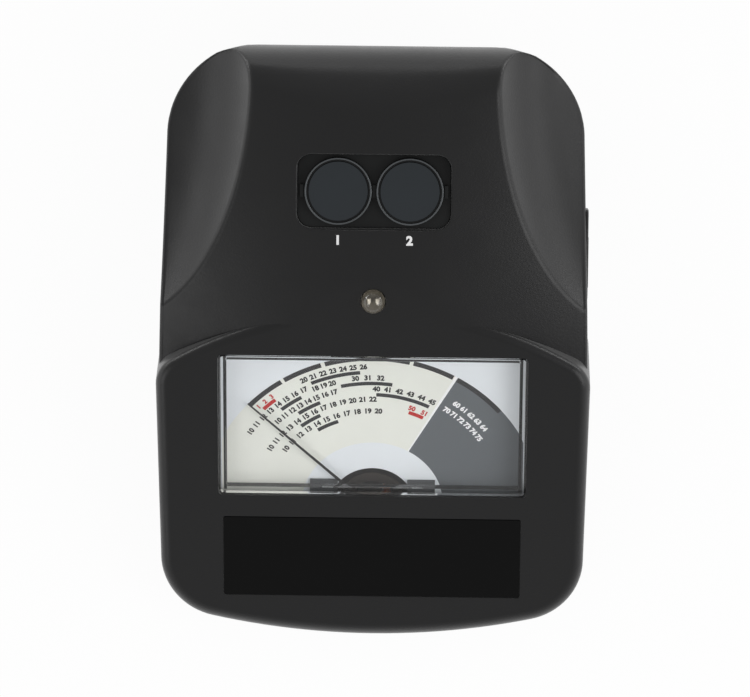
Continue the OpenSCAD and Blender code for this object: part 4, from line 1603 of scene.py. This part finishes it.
@dataclass
class Studio:
    """Pale floor, soft lamps and the camera at the photograph's angle."""

    tilt: float = 6.711
    side: float = 0.777
    roll: float = 0.623
    distance: float = 1.5
    focal_px: float = 5816.8
    image_w: float = 750.0
    image_h: float = 697.0
    centre_px: Pair = (373.769, 345.2)
    target: Triple = (0.0, 0.0, 0.025)
    sensor_w: float = 36.0
    view_end: float = 20.0
    floor_half: float = 4.0
    floor_z: float = -0.0005
    floor_grey: float = 0.86
    floor_glow: float = 0.95
    world_level: float = 0.58
    lamps: tuple[SoftBox, ...] = (
        SoftBox("left_box", (-1.4, 0.1, 0.2), (1.8, 0.4), 3.2),
        SoftBox("right_box", (1.4, 0.1, 0.2), (1.8, 0.4), 3.9),
        SoftBox("rear_box", (0.0, 1.5, 0.15), (1.8, 0.3), 2.4),
        SoftBox("rear_left", (-1.1, 0.95, 0.1), (1.0, 0.2), 6.0),
        SoftBox("rear_right", (1.1, 0.95, 0.1), (1.0, 0.2), 6.0),
        SoftBox("left_top", (-1.1, -0.75, 0.9), (0.8, 0.8), 3.5),
        SoftBox("right_top", (1.25, -0.35, 1.02), (1.0, 0.9), 9.4),
    )

    def camera(self) -> None:
        """Sets the camera that matches the photograph."""
        tilt, side, roll = (math.radians(a) for a in (self.tilt, self.side, self.roll))
        back = Vector((math.sin(side) * math.cos(tilt), math.sin(tilt), math.cos(tilt) * math.cos(side)))
        back.normalize()
        up = (Vector((0.0, 1.0, 0.0)) - back * back.y).normalized()
        right = (-back).cross(up)
        across = right * math.cos(roll) + up * math.sin(roll)
        rise = up * math.cos(roll) - right * math.sin(roll)
        pixel = self.distance / self.focal_px
        shift = across * (self.image_w / 2 - self.centre_px[0]) * pixel
        shift += rise * (self.centre_px[1] - self.image_h / 2) * pixel
        spot = Vector(self.target) + back * self.distance + shift
        data = bpy.data.cameras.new("photo_camera")
        data.sensor_width = self.sensor_w
        data.lens = self.focal_px / self.image_w * self.sensor_w
        data.clip_end = self.view_end
        obj = bpy.data.objects.new("photo_camera", data)
        turn = Matrix((across, rise, back)).transposed().to_4x4()
        obj.matrix_world = Matrix.Translation(spot) @ turn
        bpy.context.scene.collection.objects.link(obj)
        bpy.context.scene.camera = obj

    def lamp(self, box: SoftBox) -> None:
        """Adds a soft lamp.

        Args:
            box: Place, size and power of the lamp.
        """
        data = bpy.data.lights.new(box.name, "AREA")
        data.shape = "RECTANGLE"
        data.size, data.size_y = box.size
        data.energy = box.watts
        obj = bpy.data.objects.new(box.name, data)
        aim = Vector(self.target) - Vector(box.spot)
        turn = aim.to_track_quat("-Z", "Y").to_matrix().to_4x4()
        obj.matrix_world = Matrix.Translation(Vector(box.spot)) @ turn
        bpy.context.scene.collection.objects.link(obj)

    def floor(self) -> None:
        """Adds the pale floor, white to the camera and open to soft shadow."""
        piece = Piece("studio_floor")
        half = self.floor_half
        corners = ((-half, -half), (half, -half), (half, half), (-half, half))
        piece.mesh.faces.new([piece.mesh.verts.new((x, y, self.floor_z)) for x, y in corners])
        obj = piece.finish(None)
        sheet = NodeSheet("studio_floor")
        dull = sheet.node("ShaderNodeBsdfDiffuse", Color=(*[self.floor_grey] * 3, 1.0))
        glow = sheet.node("ShaderNodeEmission", Color=(1.0, 1.0, 1.0, 1.0), Strength=1.0)
        path = sheet.node("ShaderNodeLightPath")
        seen = sheet.node("ShaderNodeMath")
        seen.operation = "MAXIMUM"
        sheet.link(path.outputs["Is Camera Ray"], seen.inputs[0])
        sheet.link(path.outputs["Is Glossy Ray"], seen.inputs[1])
        share = sheet.spread(seen.outputs["Value"], 0.0, self.floor_glow, (0.0, 1.0))
        sheet.surface(sheet.mix(share, dull.outputs["BSDF"], glow.outputs["Emission"]))
        obj.data.materials.append(sheet.material)

    def world(self) -> None:
        """Sets a plain pale surround."""
        world = bpy.data.worlds.new("studio_world")
        world.use_nodes = True
        ground = world.node_tree.nodes["Background"]
        ground.inputs["Color"].default_value = (1.0, 1.0, 1.0, 1.0)
        ground.inputs["Strength"].default_value = self.world_level
        bpy.context.scene.world = world

    def build(self) -> None:
        """Builds camera, floor, surround and lamps."""
        self.camera()
        self.floor()
        self.world()
        for box in self.lamps:
            self.lamp(box)
        bpy.context.scene.view_settings.view_transform = "Standard"


def main() -> None:
    """Builds the scene round the frame, piece by piece."""
    logging.basicConfig(level=logging.INFO, format="%(message)s")
    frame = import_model()
    form = BodyForm()
    panel = PanelFrame(form)
    book = FinishBook()
    FrameFinishes(frame, book).build()
    UpperHousing(form, panel, book).build()
    DialPrint(form, panel, book).build()
    SpineMarks(form, book).build()
    LampCore(form, book).build()
    Studio().build()


if __name__ == "__main__":
    main()
